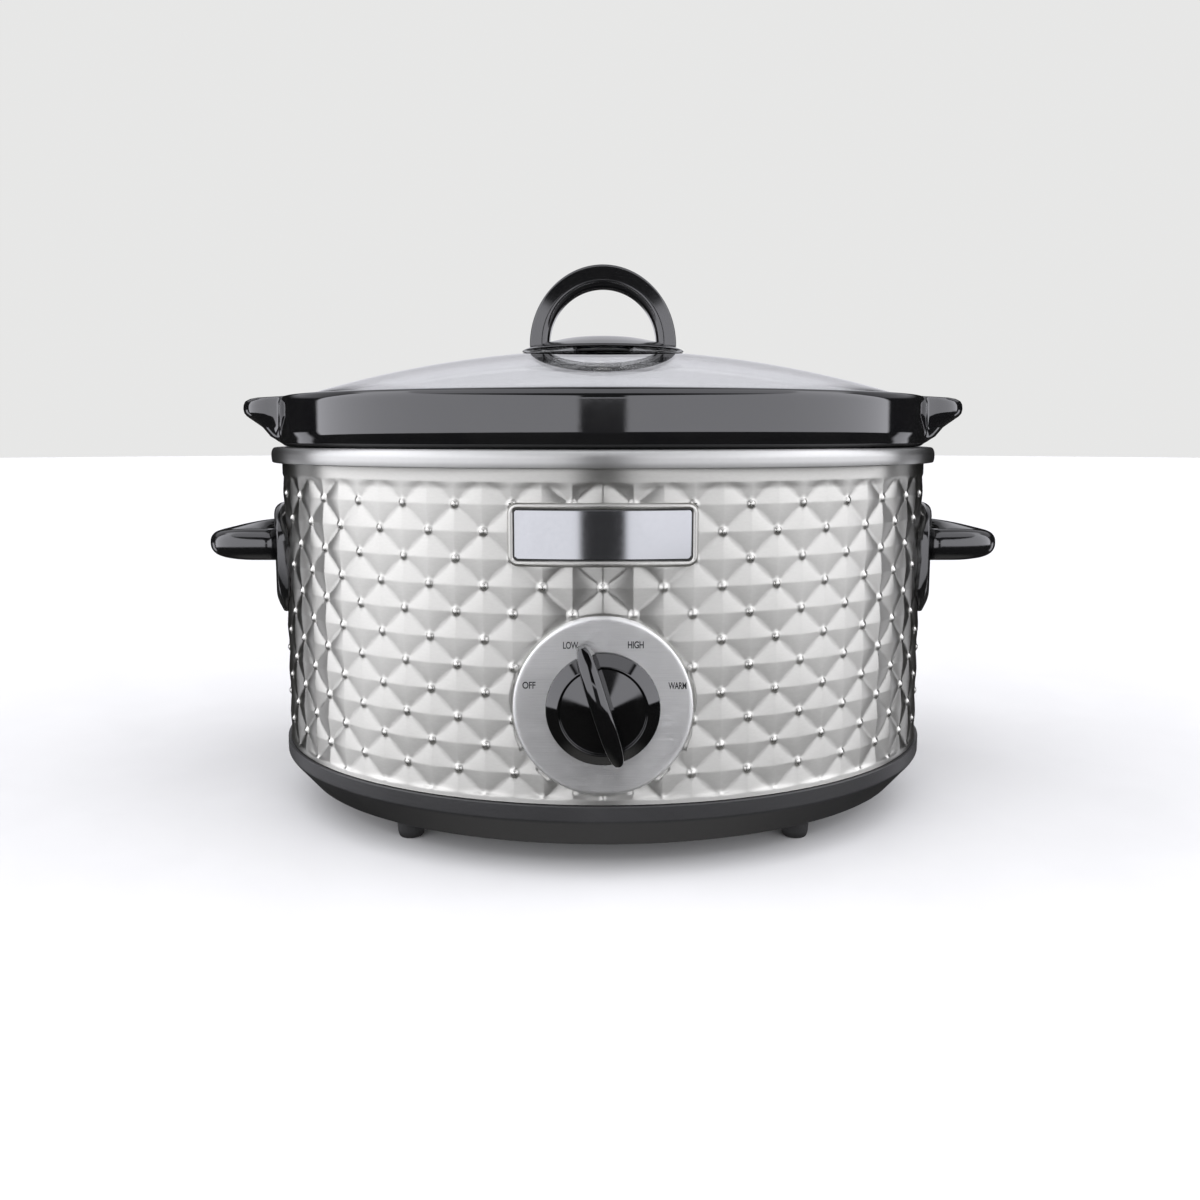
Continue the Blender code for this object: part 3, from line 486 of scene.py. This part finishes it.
def sheet_faces(s, z, x, front):
    """Two triangles to each patch, split along the pyramids' edges; the two holes stay open."""
    columns, levels = s.shape
    i, j = np.meshgrid(np.arange(columns - 1), np.arange(levels - 1), indexing="ij")
    a, b = i * levels + j, (i + 1) * levels + j
    u, w = (s[:-1, :-1] + s[1:, 1:]) / PITCH, ((z[:-1, :-1] + z[1:, 1:]) / 2 - BUMP_ROW_Z) / ROW
    same = (np.floor(u) + np.floor(w)) % 2 < 0.5
    rising = np.stack([np.stack([a, b, b + 1], -1), np.stack([a, b + 1, a + 1], -1)], -2)
    falling = np.stack([np.stack([a, b, a + 1], -1), np.stack([b, b + 1, a + 1], -1)], -2)
    faces = np.where(same[..., None, None], rising, falling)
    mid_x, mid_z = (x[:-1, :-1] + x[1:, 1:]) / 2, (z[:-1, :-1] + z[1:, 1:]) / 2
    at_front = front[:-1, :-1]
    cut = at_front & (np.hypot(mid_x, mid_z - DIAL_Z) < DIAL_R - 0.0030)
    cut |= ~at_front & (np.hypot(mid_x, mid_z - GLAND_Z) < GLAND_HOLE)
    return faces[~cut].reshape(-1, 3).tolist()


def wrap_shell():
    """The stamped sheet with a plain lining behind it, and how rubbed each point is."""
    s, z = sheet_grid()
    angle = np.interp(s, WALL_RUN, WALL_ANGLE)
    front = np.sin(angle) < 0
    growth, crown = pressed(s, z, WALL_A * np.cos(angle), front)
    x, y = (WALL_A + growth) * np.cos(angle), (WALL_B + growth) * np.sin(angle)
    verts = np.stack([x, y, z], axis=-1).reshape(-1, 3).tolist()
    lining = skin([oval_ring(-SHEET - 0.0012, level, 160) for level in (WRAP_LOW, WRAP_HIGH)], ends=False)
    rubbed = crown.reshape(-1).tolist() + [0.0] * len(lining[0])
    return joined((verts, sheet_faces(s, z, x, front)), lining), rubbed


SATIN_STEEL = surface("satin_steel", (0.350, 0.347, 0.325), (0.420, 0.417, 0.392), (0.33, 0.40), 420.0,
                      stretch=(1.0, 1.0, 3.0), bump=0.05, depth=0.00004, metal=1.0, Anisotropic=0.95,
                      Anisotropic_Rotation=0.25)
RUBBED_SHINE = 0.25


def stamped_steel():
    """The same satin sheet, with the crown of each round bump rubbed brighter by the press."""
    material = SATIN_STEEL.copy()
    material.name = "stamped_steel"
    tree = material.node_tree
    shader = tree.nodes["Principled BSDF"]
    rubbed = tree.nodes.new("ShaderNodeAttribute")
    rubbed.attribute_name = "rubbed"
    rough = shader.inputs["Roughness"].links[0].from_socket
    keep = calc(tree, "SUBTRACT", 1.0, calc(tree, "MULTIPLY", rubbed.outputs["Fac"], RUBBED_SHINE))
    tree.links.new(calc(tree, "MULTIPLY", rough, keep), shader.inputs["Roughness"])
    return material


wrap_mesh, rubbed_crowns = wrap_shell()
wrap = piece("embossed_wrap", wrap_mesh, stamped_steel(), "housing", "brushed_steel", "housing_wrap",
             tidy=False)
wrap.data.attributes.new("rubbed", "FLOAT", "POINT").data.foreach_set("value", rubbed_crowns)


# ---------------------------------------------------------------- dial pad
# A flat round land pressed out of the wrap, brushed level and printed with the settings. The rotary
# switch behind it is fixed through its hole by a nut.

PAD_AROUND, PAD_FOOT = 180, 0.0380
PAD_LINE = ((0.0048, 0.0), (0.0200, 0.0), (0.0350, 0.0), (0.0360, 0.00001), (0.0365, 0.00010),
            (0.0369, 0.00030), (0.0372, 0.00060))


def pad_shell():
    """Rings of the flat land and its rounded edge, and a last one let into the wall."""
    around = [2 * pi * i / PAD_AROUND for i in range(PAD_AROUND)]
    rings = [[(r * sin(a), DIAL_FACE + back, DIAL_Z + r * cos(a)) for a in around] for r, back in PAD_LINE]
    half_a, half_b = WALL_A - 0.0010, WALL_B - 0.0010
    rings.append([(PAD_FOOT * sin(a), -half_b * sqrt(1.0 - (PAD_FOOT * sin(a) / half_a) ** 2),
                   DIAL_Z + PAD_FOOT * cos(a)) for a in around])
    return skin(rings, ends=False)


DIAL_STEEL = surface("dial_steel", (0.43, 0.43, 0.42), (0.64, 0.64, 0.625), (0.30, 0.38), 1.0,
                     stretch=(60.0, 60.0, 4200.0), bump=0.60, depth=0.00005, metal=1.0, Anisotropic=1.0,
                     Anisotropic_Rotation=0.25)
piece("dial_pad", pad_shell(), DIAL_STEEL, "housing", "brushed_steel")

DIAL_INK = surface("dial_ink", (0.004, 0.004, 0.0045), (0.008, 0.008, 0.008), (0.45, 0.6), 1500.0)

# Each word: name, letters, place across and above the dial's middle, and how narrow it is set.
WORDS = (("off", "OFF", -0.0303, 0.0092, 0.80), ("low", "LOW", -0.0133, 0.0258, 0.68),
         ("high", "HIGH", 0.0134, 0.0260, 0.72), ("warm", "WARM", 0.0306, 0.0090, 0.62))
WORD_SIZE, INK, BOLD = 0.0040, 0.00004, 0.00008
for name, word, x, up, narrow in WORDS:
    letters = bpy.data.curves.new("letters_" + name, "FONT")
    letters.body, letters.size, letters.extrude, letters.offset = word, WORD_SIZE, INK, BOLD
    letters.align_x = letters.align_y = "CENTER"
    letters.space_character = 0.95
    maker = bpy.data.objects.new("letters_" + name, letters)
    scene.collection.objects.link(maker)
    bpy.context.view_layer.update()
    mesh = bpy.data.meshes.new_from_object(maker)
    bpy.data.objects.remove(maker)
    mesh.transform(Matrix.Translation((x, DIAL_FACE - INK, DIAL_Z + up)) @ Matrix.Rotation(pi / 2, 4, "X")
                   @ Matrix.Diagonal((narrow, 1.0, 1.0, 1.0)))
    mesh.materials.clear()
    mesh.materials.append(DIAL_INK)
    printed = bpy.data.objects.new("dial_word_" + name, mesh)
    scene.collection.objects.link(printed)
    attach(printed, "housing")


# ---------------------------------------------------------------- badge
# A blank nameplate on the front: a rounded frame pressed in satin steel round a bright plated panel.
# Studs on its back go through the wrap and take push-on nuts.

BADGE_MIDDLE, BADGE_HALF_HEIGHT = (BADGE_LOW + BADGE_HIGH) / 2, (BADGE_HIGH - BADGE_LOW) / 2
BADGE_CORNER, SHARPEST_CORNER = 0.0042, 0.0012
ARC_STEPS, EDGE_STEPS = 8, 40
FRAME_LINE = ((0.0, -0.0009), (0.0, 0.0006), (0.0002, 0.0013), (0.0007, 0.0018), (0.0013, 0.0020),
              (0.0019, 0.0018), (0.0023, 0.0013), (0.0026, 0.0006))
PANEL_LINE = ((0.0025, 0.0004), (0.0026, 0.0009), (0.0029, 0.0012), (0.0033, 0.0012))


def badge_outline(inset, growth):
    """A rounded rectangle wrapped on the wall, the same above and below its level middle line."""
    wide, high = BADGE_HALF - inset, BADGE_HALF_HEIGHT - inset
    corner = max(BADGE_CORNER - inset, SHARPEST_CORNER)
    arc = [pi / 2 * k / ARC_STEPS for k in range(ARC_STEPS + 1)]
    upper = [(wide, 0.0), (wide, (high - corner) / 2)]
    upper += [(wide - corner + corner * cos(a), high - corner + corner * sin(a)) for a in arc]
    upper += [((wide - corner) * (1 - 2 * k / EDGE_STEPS), high) for k in range(1, EDGE_STEPS)]
    upper += [(-wide + corner - corner * sin(a), high - corner + corner * cos(a)) for a in arc]
    upper += [(-wide, (high - corner) / 2), (-wide, 0.0)]
    loop = upper + [(x, -z) for x, z in reversed(upper[1:-1])]
    a, b = WALL_A + growth, WALL_B + growth
    return [(x, -b * sqrt(1.0 - (x / a) ** 2), BADGE_MIDDLE + z) for x, z in loop]


def panel_shell():
    """The panel's edge rings, closed by strips that run from its upper to its lower edge."""
    rings = [badge_outline(inset, growth) for inset, growth in PANEL_LINE]
    verts, faces = skin(rings, ends=False)
    size = len(rings[0])
    start = (len(rings) - 1) * size
    for k in range(size // 2):
        low, low_next = (size - k) % size, (size - k - 1) % size
        corners = (start + k, start + k + 1, start + low_next, start + low)
        faces.append(tuple(dict.fromkeys(corners)))
    return verts, faces


MIRROR_PLATE = surface("mirror_plate", (0.175, 0.178, 0.182), (0.20, 0.203, 0.208), (0.07, 0.12), 500.0,
                       bump=0.01, depth=0.00002, haze=30.0, metal=1.0)
frame_shell = skin([badge_outline(inset, growth) for inset, growth in FRAME_LINE], ends=False)
piece("badge_frame", frame_shell, SATIN_STEEL, "housing", "brushed_steel")
piece("badge_panel", panel_shell(), MIRROR_PLATE, "housing", "badge_chrome", "badge_plate")


# ---------------------------------------------------------------- heating pan
# The drawn steel well that the crock sits in. Its flange is rolled over the top of the wrap into the
# bright bead.

BEAD_STEEL = surface("bead_steel", (0.34, 0.34, 0.33), (0.38, 0.38, 0.37), (0.36, 0.42), 300.0,
                     bump=0.03, depth=0.00003, metal=1.0, Anisotropic=0.90, Anisotropic_Rotation=0.25)
PAN_LINE = [(-0.0300, 0.0500, 0.0), (-0.0185, 0.0520, 0.0030), (-0.0140, 0.0600, 0.0040),
            (-0.0140, 0.1775, 0.0004), (0.0028, 0.1775, 0.0004), (0.0036, 0.1765, 0.0004),
            (0.0036, 0.1712, 0.0002), (0.0046, 0.1712, 0.0006), (0.0050, 0.1730, 0.0016),
            (0.0050, 0.1763, 0.0016), (0.0040, 0.1784, 0.0014), (0.0022, 0.1787, 0.0010),
            (-0.0138, 0.1787, 0.0006), (-0.0150, 0.1775, 0.0010), (-0.0150, 0.0605, 0.0040),
            (-0.0193, 0.0530, 0.0030), (-0.0310, 0.0510, 0.0)]
piece("heating_well", skin([oval_ring(g, z) for g, z in eased(PAN_LINE)]), BEAD_STEEL, "housing",
      "bright_steel", "heating_pan")


# ---------------------------------------------------------------- side handles
# Glossy black phenolic, one moulding each: a rounded bar stands out from a curved plate that lies on
# the wrap. Two screws from inside hold it.

HANDLE_PLASTIC = surface("handle_plastic", (0.0035, 0.0035, 0.0038), (0.006, 0.006, 0.006), (0.10, 0.20),
                         520.0, bump=0.06, depth=0.00004, Specular_IOR_Level=0.55)
HANDLE_Z, HANDLE_HALF, HANDLE_REACH = 0.1302, 0.0350, 0.2021

# The bar's root inside the plate, its section, how much lower it is at the root, and over what length;
# then exponents below 1 that square up the loop and the section, and crowd the steps towards the ends.
BAR_ROOT, BAR_DEPTH, BAR_HEIGHT, BAR_LOWER, BAR_TAPER = 0.1560, 0.0150, 0.0157, 0.22, 0.0200
SQUARE_OUT, SQUARE_ALONG, SQUARE_SECTION, BAR_CROWD = 0.35, 0.55, 0.85, 0.7
BAR_STEPS, BAR_FACETS = 64, 36
PLATE_LOW, PLATE_HIGH, PLATE_HALF, PLATE_THICK = 0.0934, 0.1498, 0.0480, 0.0047
PLATE_ROOT, PLATE_SOFT, PLATE_END, PLATE_CROWD, PLATE_STEPS = -0.0006, 0.0024, 0.42, 0.8, 64


def power(value, exponent):
    """A power that keeps the sign."""
    return (1.0 if value > 0 else -1.0) * abs(value) ** exponent


def bar_shell(sign):
    """The section carried round the loop, square to its path."""
    crest = HANDLE_REACH - BAR_DEPTH / 2
    turns = [pi / 2 * power(2.0 * i / BAR_STEPS - 1.0, BAR_CROWD) for i in range(BAR_STEPS + 1)]
    path = [(BAR_ROOT + (crest - BAR_ROOT) * max(cos(a), 0.0) ** SQUARE_OUT,
             HANDLE_HALF * power(sin(a), SQUARE_ALONG)) for a in turns]
    rings = []
    for i, (x, y) in enumerate(path):
        before, after = path[max(i - 1, 0)], path[min(i + 1, len(path) - 1)]
        dx, dy = after[0] - before[0], after[1] - before[1]
        nx, ny = dy / hypot(dx, dy), -dx / hypot(dx, dy)
        taper = max(0.0, 1.0 - (crest - x) / BAR_TAPER)
        tall = BAR_HEIGHT / 2 * (1.0 - BAR_LOWER * taper * taper)
        ring = []
        for k in range(BAR_FACETS):
            a = 2 * pi * k / BAR_FACETS
            out, up = BAR_DEPTH / 2 * power(cos(a), SQUARE_SECTION), tall * power(sin(a), SQUARE_SECTION)
            ring.append((sign * (x + nx * out), y + ny * out, HANDLE_Z + up))
        rings.append(ring)
    return skin(rings)


def plate_shell(sign):
    """The curved plate, tallest in the middle, rounded off at both ends and sloped at its foot."""
    middle, half = (PLATE_LOW + PLATE_HIGH) / 2, (PLATE_HIGH - PLATE_LOW) / 2
    rings = []
    for i in range(PLATE_STEPS + 1):
        along = power(2.0 * i / PLATE_STEPS - 1.0, PLATE_CROWD)
        angle = (0.0 if sign > 0 else pi) + asin(PLATE_HALF / WALL_B) * along
        h = half * (PLATE_END + (1.0 - PLATE_END) * sqrt(max(1.0 - abs(along) ** 3, 0.0)))
        low, high = middle - h, middle + h
        line = eased([(PLATE_ROOT, low, 0.0), (0.0014, low, 0.0010), (PLATE_THICK, low + 0.0072, 0.0060),
                      (PLATE_THICK, high, PLATE_SOFT), (PLATE_ROOT, high, 0.0)], steps=6)
        rings.append([((WALL_A + g) * cos(angle), (WALL_B + g) * sin(angle), z) for g, z in line])
    return skin(rings)


for side, sign in (("left", -1.0), ("right", 1.0)):
    piece("side_handle_" + side, joined(bar_shell(sign), plate_shell(sign)), HANDLE_PLASTIC, "housing",
          "black_gloss", "handle_" + side)


# ---------------------------------------------------------------- knob
# Glossy black moulded knob: a skirt with a sloping band and a shallow dished top, and a long thin
# pointer grip across it. It pushes on to the switch's shaft.

KNOB_GLOSS = surface("knob_gloss", (0.0015, 0.0015, 0.0016), (0.0025, 0.0025, 0.0025), (0.04, 0.09), 600.0,
                     bump=0.02, depth=0.00003, haze=60.0, Specular_IOR_Level=0.55)
KNOB_TILT, KNOB_AROUND = radians(17.3), 128
KNOB_LINE = [(0.0090, 0.0048, 0.0), (0.0092, 0.0007, 0.0003), (0.0229, 0.0007, 0.0003),
             (0.0235, 0.0013, 0.0003), (0.0235, 0.0034, 0.0006), (0.0186, 0.0071, 0.0004),
             (0.0180, 0.0071, 0.0003), (0.0176, 0.0064, 0.0003), (0.0, 0.0088, 0.0)]

# The grip: its ends and underside, how blunt the ends are, half widths at the ends and what the middle
# adds, at the foot and at the top, and the same for its height.
GRIP_TAIL, GRIP_TIP, GRIP_LOW = -0.0222, 0.0285, 0.0053
GRIP_STEPS, GRIP_BLUNT = 80, 3.6
FOOT_END, FOOT_SWELL, TOP_END, TOP_SWELL = 0.0013, 0.0037, 0.0010, 0.0027
GRIP_TOP, GRIP_RISE = 0.0125, 0.0048


def grip_shell():
    """Upright sections from tail to tip, closer together towards both ends."""
    middle, half = (GRIP_TIP + GRIP_TAIL) / 2, (GRIP_TIP - GRIP_TAIL) / 2
    rings = []
    for i in range(GRIP_STEPS + 1):
        s = sin(pi / 2 * (2.0 * i / GRIP_STEPS - 1.0))
        swell = sqrt(max(0.0, 1.0 - abs(s) ** GRIP_BLUNT))
        low, high = FOOT_END + FOOT_SWELL * swell, TOP_END + TOP_SWELL * swell
        top = GRIP_TOP + GRIP_RISE * (1.0 - s * s)
        right = eased([(low, GRIP_LOW, 0.0), (high, top - 0.0008, 0.0009), (high * 0.5, top - 0.0001, 0.001),
                       (0.0, top, 0.0)], steps=3)
        left = [(-x, z) for x, z in reversed(right[:-1])]
        rings.append([(x, middle + s * half, z) for x, z in right + left])
    return skin(rings)


OUT_OF_DIAL = Matrix.Translation((0.0, DIAL_FACE, DIAL_Z)) @ Matrix.Rotation(pi / 2, 4, "X")
KNOB_AT = OUT_OF_DIAL @ Matrix.Rotation(KNOB_TILT, 4, "Z")
knob_shell = joined(turned_shell([(0.0, 0.0048)] + eased(KNOB_LINE), KNOB_AROUND), grip_shell())
piece("pointer_knob", moved(knob_shell, KNOB_AT), KNOB_GLOSS, "knob", "black_gloss", "control_knob")


# ---------------------------------------------------------------- crock
# Slip-cast stoneware under a thick black glaze. Its wide outer band rests on the bead, and a shallow
# lug for lifting runs out of the band at each end.

GLAZE = surface("black_glaze", (0.0035, 0.0035, 0.004), (0.006, 0.006, 0.006), (0.03, 0.07), 90.0,
                bump=0.04, depth=0.0002, haze=22.0, Specular_IOR_Level=0.5)
CROCK_AROUND = 400
BAND = [(-0.0170, 0.1790, 0.0003), (-0.0022, 0.1790, 0.0012), (-0.0006, 0.1801, 0.0008),
        (-0.0001, 0.1822, 0.0008), (0.0008, 0.1852, 0.0016), (0.0006, 0.2009, 0.0025),
        (-0.0009, 0.2033, 0.0014), (-0.0030, 0.2039, 0.0012), (-0.0062, 0.2039, 0.0010),
        (-0.0084, 0.2027, 0.0010), (-0.0092, 0.1990, 0.0006), (-0.0150, 0.1985, 0.0020),
        (-0.0195, 0.1920, 0.0040), (-0.0235, 0.0850, 0.0080), (-0.0290, 0.0700, 0.0060),
        (-0.0420, 0.0655, 0.0060), (-0.0700, 0.0655, 0.0)]
FOOT_PART = [(-0.0300, 0.0585, 0.0), (-0.0215, 0.0600, 0.0050), (-0.0170, 0.0700, 0.0050)]

# Under the band, its inner edge, the inner edge of the rim and the rim's crest, which bound the fine
# mesh and the lugs; then the mesh's steps on the band and off it.
BAND_LOW, BAND_INNER, RIM_INNER, RIM_CREST = 0.1789, -0.0095, -0.0160, 0.20385
BAND_STEP, BODY_STEP = 0.0006, 0.02

# The lug's side line as (height, reach), its half width, where it begins, the exponent that squares up
# its outline, and the fillet where it leaves the band.
LUG_REACH = ((0.1795, 0.1560), (0.1811, 0.1650), (0.1838, 0.1705), (0.1885, 0.1748), (0.1917, 0.1797),
             (0.1940, 0.1832), (0.1955, 0.1845), (0.1975, 0.1850), (0.1997, 0.1848), (0.2015, 0.1838),
             (0.2027, 0.1813), (0.2033, 0.1775), (0.2036, 0.1700), (0.2039, 0.1600))
LUG_HALF, LUG_ROOT, LUG_SQUARE, FILLET = 0.0360, 0.1480, 3, 0.0070


def lug_outline(reach, direction):
    """Distance from the middle of the crock to the lug's edge along each direction, found by halving."""
    near, far = np.zeros(len(direction)), np.full(len(direction), 0.22)
    for _ in range(40):
        mid = (near + far) / 2
        x = np.maximum(mid * np.abs(direction[:, 0]) - LUG_ROOT, 0.0) / max(reach - LUG_ROOT, 1e-4)
        y = np.abs(mid * direction[:, 1]) / LUG_HALF
        inside = x ** LUG_SQUARE + y ** LUG_SQUARE < 1.0
        near, far = np.where(inside, mid, near), np.where(inside, far, mid)
    return near


def crock_ring(growth, height, lugs):
    """A ring of the oval, let out to the lugs where there are any."""
    ring = np.array(oval_ring(growth, height, CROCK_AROUND))
    if not lugs:
        return ring.tolist()
    plain = np.hypot(ring[:, 0], ring[:, 1])
    direction = ring[:, :2] / plain[:, None]
    reach = np.interp(height, [z for z, _ in LUG_REACH], [x for _, x in LUG_REACH])
    lug = lug_outline(reach, direction)
    # The farther of oval and lug, with a little added where they are close, which makes the fillet.
    blend = np.maximum(FILLET - np.abs(plain - lug), 0.0) / FILLET
    both = np.maximum(plain, lug) + np.where(plain - lug > FILLET, 0.0, blend ** 3 * FILLET / 6)
    both = np.where(lug > plain - FILLET, both, plain)
    ring[:, :2] = direction * both[:, None]
    return ring.tolist()


def crock_shell():
    """Rings from the foot up the outside, over the rim and down into the bowl."""
    line = eased(FOOT_PART + BAND, steps=5)
    fine = []
    for (g0, z0), (g1, z1) in zip(line, line[1:]):
        step = BAND_STEP if g0 > BAND_INNER and min(z0, z1) > BAND_LOW else BODY_STEP
        count = max(1, int(np.ceil(hypot(g1 - g0, z1 - z0) / step)))
        fine += [(g0 + (g1 - g0) * k / count, z0 + (z1 - z0) * k / count) for k in range(count)]
    fine.append(line[-1])
    crest = next(i for i, (g, z) in enumerate(fine) if z > RIM_CREST)
    return skin([crock_ring(g, z, z > BAND_LOW and g > RIM_INNER and i <= crest)
                 for i, (g, z) in enumerate(fine)])


piece("glazed_crock", crock_shell(), GLAZE, "crock", "black_glaze", "crock")


# ---------------------------------------------------------------- lid glass
# Pressed clear tempered glass, 4 mm thick: a shallow dome whose ground edge sits in the crock's rim.
# The hole in its middle takes the grip's screw.

GLASS_LOW, GLASS_TOP, GLASS_THICK, GLASS_EDGE = 0.2035, 0.2278, 0.0040, -0.0095
HOLE_PART, LAST_PART, DOME_RINGS = 0.0265, 0.985, 24

# The rounded edge, as share of the dome's reach and depth below its top face.
EDGE_ROUND = [(0.992, 0.00005), (0.997, 0.0003), (0.9995, 0.0009), (1.0, 0.0016), (1.0, 0.0026),
              (0.9995, 0.0032), (0.997, 0.0038), (0.992, 0.00395)]


def clear_glass():
    material = surface("lid_glass_clear", (0.97, 0.985, 0.98), (1.0, 1.0, 1.0), (0.0, 0.015), 80.0,
                       bump=0.01, depth=0.0001)
    shader = material.node_tree.nodes["Principled BSDF"]
    shader.inputs["Transmission Weight"].default_value = 1.0
    shader.inputs["IOR"].default_value = 1.5
    return material


def glass_ring(part, lower):
    """A ring at this share of the dome's reach, lowered from its top face."""
    z = GLASS_LOW + (GLASS_TOP - GLASS_LOW) * (1.0 - part * part) - lower
    return [(x * part, y * part, z) for x, y, _ in oval_ring(GLASS_EDGE, z)]


parts = [HOLE_PART] + [k / DOME_RINGS for k in range(1, DOME_RINGS)] + [LAST_PART]
glass_rings = [glass_ring(part, 0.0) for part in parts]
glass_rings += [glass_ring(part, lower) for part, lower in EDGE_ROUND]
glass_rings += [glass_ring(part, GLASS_THICK) for part in reversed(parts)]
lid = piece("lid_dome", skin(glass_rings, loop=True), clear_glass(), "lid", "clear_glass", "lid_glass")
lid.visible_shadow = False


# ---------------------------------------------------------------- lid grip
# One black phenolic moulding: a thin lens-shaped disc with an arched grip on it. A screw from below,
# with its washer and gasket, holds it through the hole in the glass.

GRIP_PLASTIC = surface("grip_plastic", (0.003, 0.003, 0.0033), (0.005, 0.005, 0.005), (0.08, 0.15), 520.0,
                       bump=0.05, depth=0.00004, Specular_IOR_Level=0.55)
DISC_AROUND = 144
DISC_LINE = [(0.0, 0.2292, 0.0), (0.0155, 0.2292, 0.0003), (0.0160, 0.2304, 0.0003),
             (0.0395, 0.2272, 0.0010), (0.0423, 0.2278, 0.0004), (0.0405, 0.2288, 0.0006),
             (0.0330, 0.2312, 0.0040), (0.0200, 0.2344, 0.0060), (0.0080, 0.2354, 0.0040),
             (0.0, 0.2354, 0.0)]

# The arch: half axes of its outer and inner curves, the heights they spring from, where its feet end
# inside the disc, and its half depth at the springing, in the feet and what it loses at the crown.
ARCH_OUT, ARCH_IN = (0.0379, 0.0413), (0.0277, 0.0281)
ARCH_FOOT, ARCH_IN_FOOT, ARCH_END, ARCH_TOE = 0.2307, 0.2320, 0.2282, 0.0004
ARCH_DEPTH, FOOT_DEPTH, CROWN_LOSS = 0.0092, 0.0094, 0.0020
ARCH_STEPS = 72


def arch_ring(outer, inner, depth):
    """One section: both faces lean back towards the outside, and a bevel runs round the opening."""
    wide = hypot(outer[0] - inner[0], outer[1] - inner[1])
    face, edge = depth - 0.0018, depth - 0.0028
    line = eased([(wide, -face, 0.0014), (wide, face, 0.0014), (0.0030, depth, 0.0018), (0.0, edge, 0.0016),
                  (0.0, -edge, 0.0016), (0.0030, -depth, 0.0018)], closed=True, steps=5)
    across, up = (outer[0] - inner[0]) / wide, (outer[1] - inner[1]) / wide
    return [(inner[0] + across * out, along, inner[1] + up * out) for out, along in line]


def arch_shell():
    """Sections from the right foot over the crown to the left foot."""
    right, left = [arch_ring((sign * (ARCH_OUT[0] - ARCH_TOE), ARCH_END), (sign * ARCH_IN[0], ARCH_END),
                             FOOT_DEPTH) for sign in (1.0, -1.0)]
    over = [arch_ring((ARCH_OUT[0] * cos(a), ARCH_FOOT + ARCH_OUT[1] * sin(a)),
                      (ARCH_IN[0] * cos(a), ARCH_IN_FOOT + ARCH_IN[1] * sin(a)),
                      ARCH_DEPTH - CROWN_LOSS * sin(a))
            for a in (pi * i / ARCH_STEPS for i in range(ARCH_STEPS + 1))]
    return skin([right] + over + [left])


piece("lid_grip", joined(turned_shell(eased(DISC_LINE), DISC_AROUND), arch_shell()), GRIP_PLASTIC, "lid",
      "black_gloss", "lid_handle")


# ---------------------------------------------------------------- cord gland
# Rubber bush for the supply cord, snapped into the hole at the back of the wrap. A flange outside and a
# lip inside hold it, and its nose tapers outwards.

GLAND_AROUND = 64
GLAND_LINE = [(0.0036, 0.1265, 0.0004), (0.0074, 0.1265, 0.0006), (0.0074, 0.1317, 0.0004),
              (0.0057, 0.1317, 0.0002), (0.0057, 0.1338, 0.0002), (0.0085, 0.1338, 0.0004),
              (0.0085, 0.1360, 0.0008), (0.0062, 0.1370, 0.0008), (0.0055, 0.1470, 0.0006),
              (0.0036, 0.1470, 0.0006)]
OUT_OF_BACK = Matrix.Translation((0.0, 0.0, GLAND_Z)) @ Matrix.Rotation(-pi / 2, 4, "X")
gland = turned_shell(eased(GLAND_LINE, closed=True), GLAND_AROUND, loop=True)
piece("gland_bush", moved(gland, OUT_OF_BACK), RUBBER, "housing", "rubber", "cord_gland")


# ---------------------------------------------------------------- works inside
# Zinc-plated fixings, the strap heater and its shield, the switch, the fuse and the wiring. They keep
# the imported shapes, and are seen only with the base off.

ZINC = surface("zinc_plate", (0.52, 0.51, 0.47), (0.66, 0.65, 0.62), (0.25, 0.45), 800.0, bump=0.1,
               depth=0.00005, metal=1.0)
ALUMINISED = surface("aluminised_sheet", (0.50, 0.50, 0.50), (0.64, 0.64, 0.63), (0.35, 0.55), 260.0,
                     bump=0.15, depth=0.00005, metal=1.0)
SWITCH_PLASTIC = surface("switch_plastic", (0.025, 0.025, 0.026), (0.04, 0.04, 0.04), (0.35, 0.5), 700.0,
                         bump=0.15)
CERAMIC = surface("white_ceramic", (0.68, 0.66, 0.60), (0.76, 0.74, 0.69), (0.45, 0.6), 500.0, bump=0.1)
SILICONE = surface("grey_silicone", (0.22, 0.22, 0.22), (0.32, 0.32, 0.32), (0.5, 0.65), 600.0, bump=0.1)
RED_SLEEVE = surface("red_sleeve", (0.33, 0.02, 0.015), (0.42, 0.03, 0.02), (0.4, 0.55), 900.0,
                     stretch=(1.0, 1.0, 0.3), bump=0.2)
WHITE_SLEEVE = surface("white_sleeve", (0.58, 0.58, 0.55), (0.70, 0.70, 0.66), (0.4, 0.55), 900.0,
                       stretch=(1.0, 1.0, 0.3), bump=0.2)
INSIDE = ((ALUMINISED, ("heat_shield", "heater_band")), (SWITCH_PLASTIC, ("rotary_switch",)),
          (CERAMIC, ("terminal_block", "thermal_fuse")), (SILICONE, ("lid_gasket",)),
          (RED_SLEEVE, ("lead_line",)),
          (WHITE_SLEEVE, ("lead_neutral", "heater_lead_high", "heater_lead_low")))
dressed = {node: material for material, nodes in INSIDE for node in nodes}
for name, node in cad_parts.items():
    node.data.materials.clear()
    node.data.materials.append(dressed.get(name, ZINC))
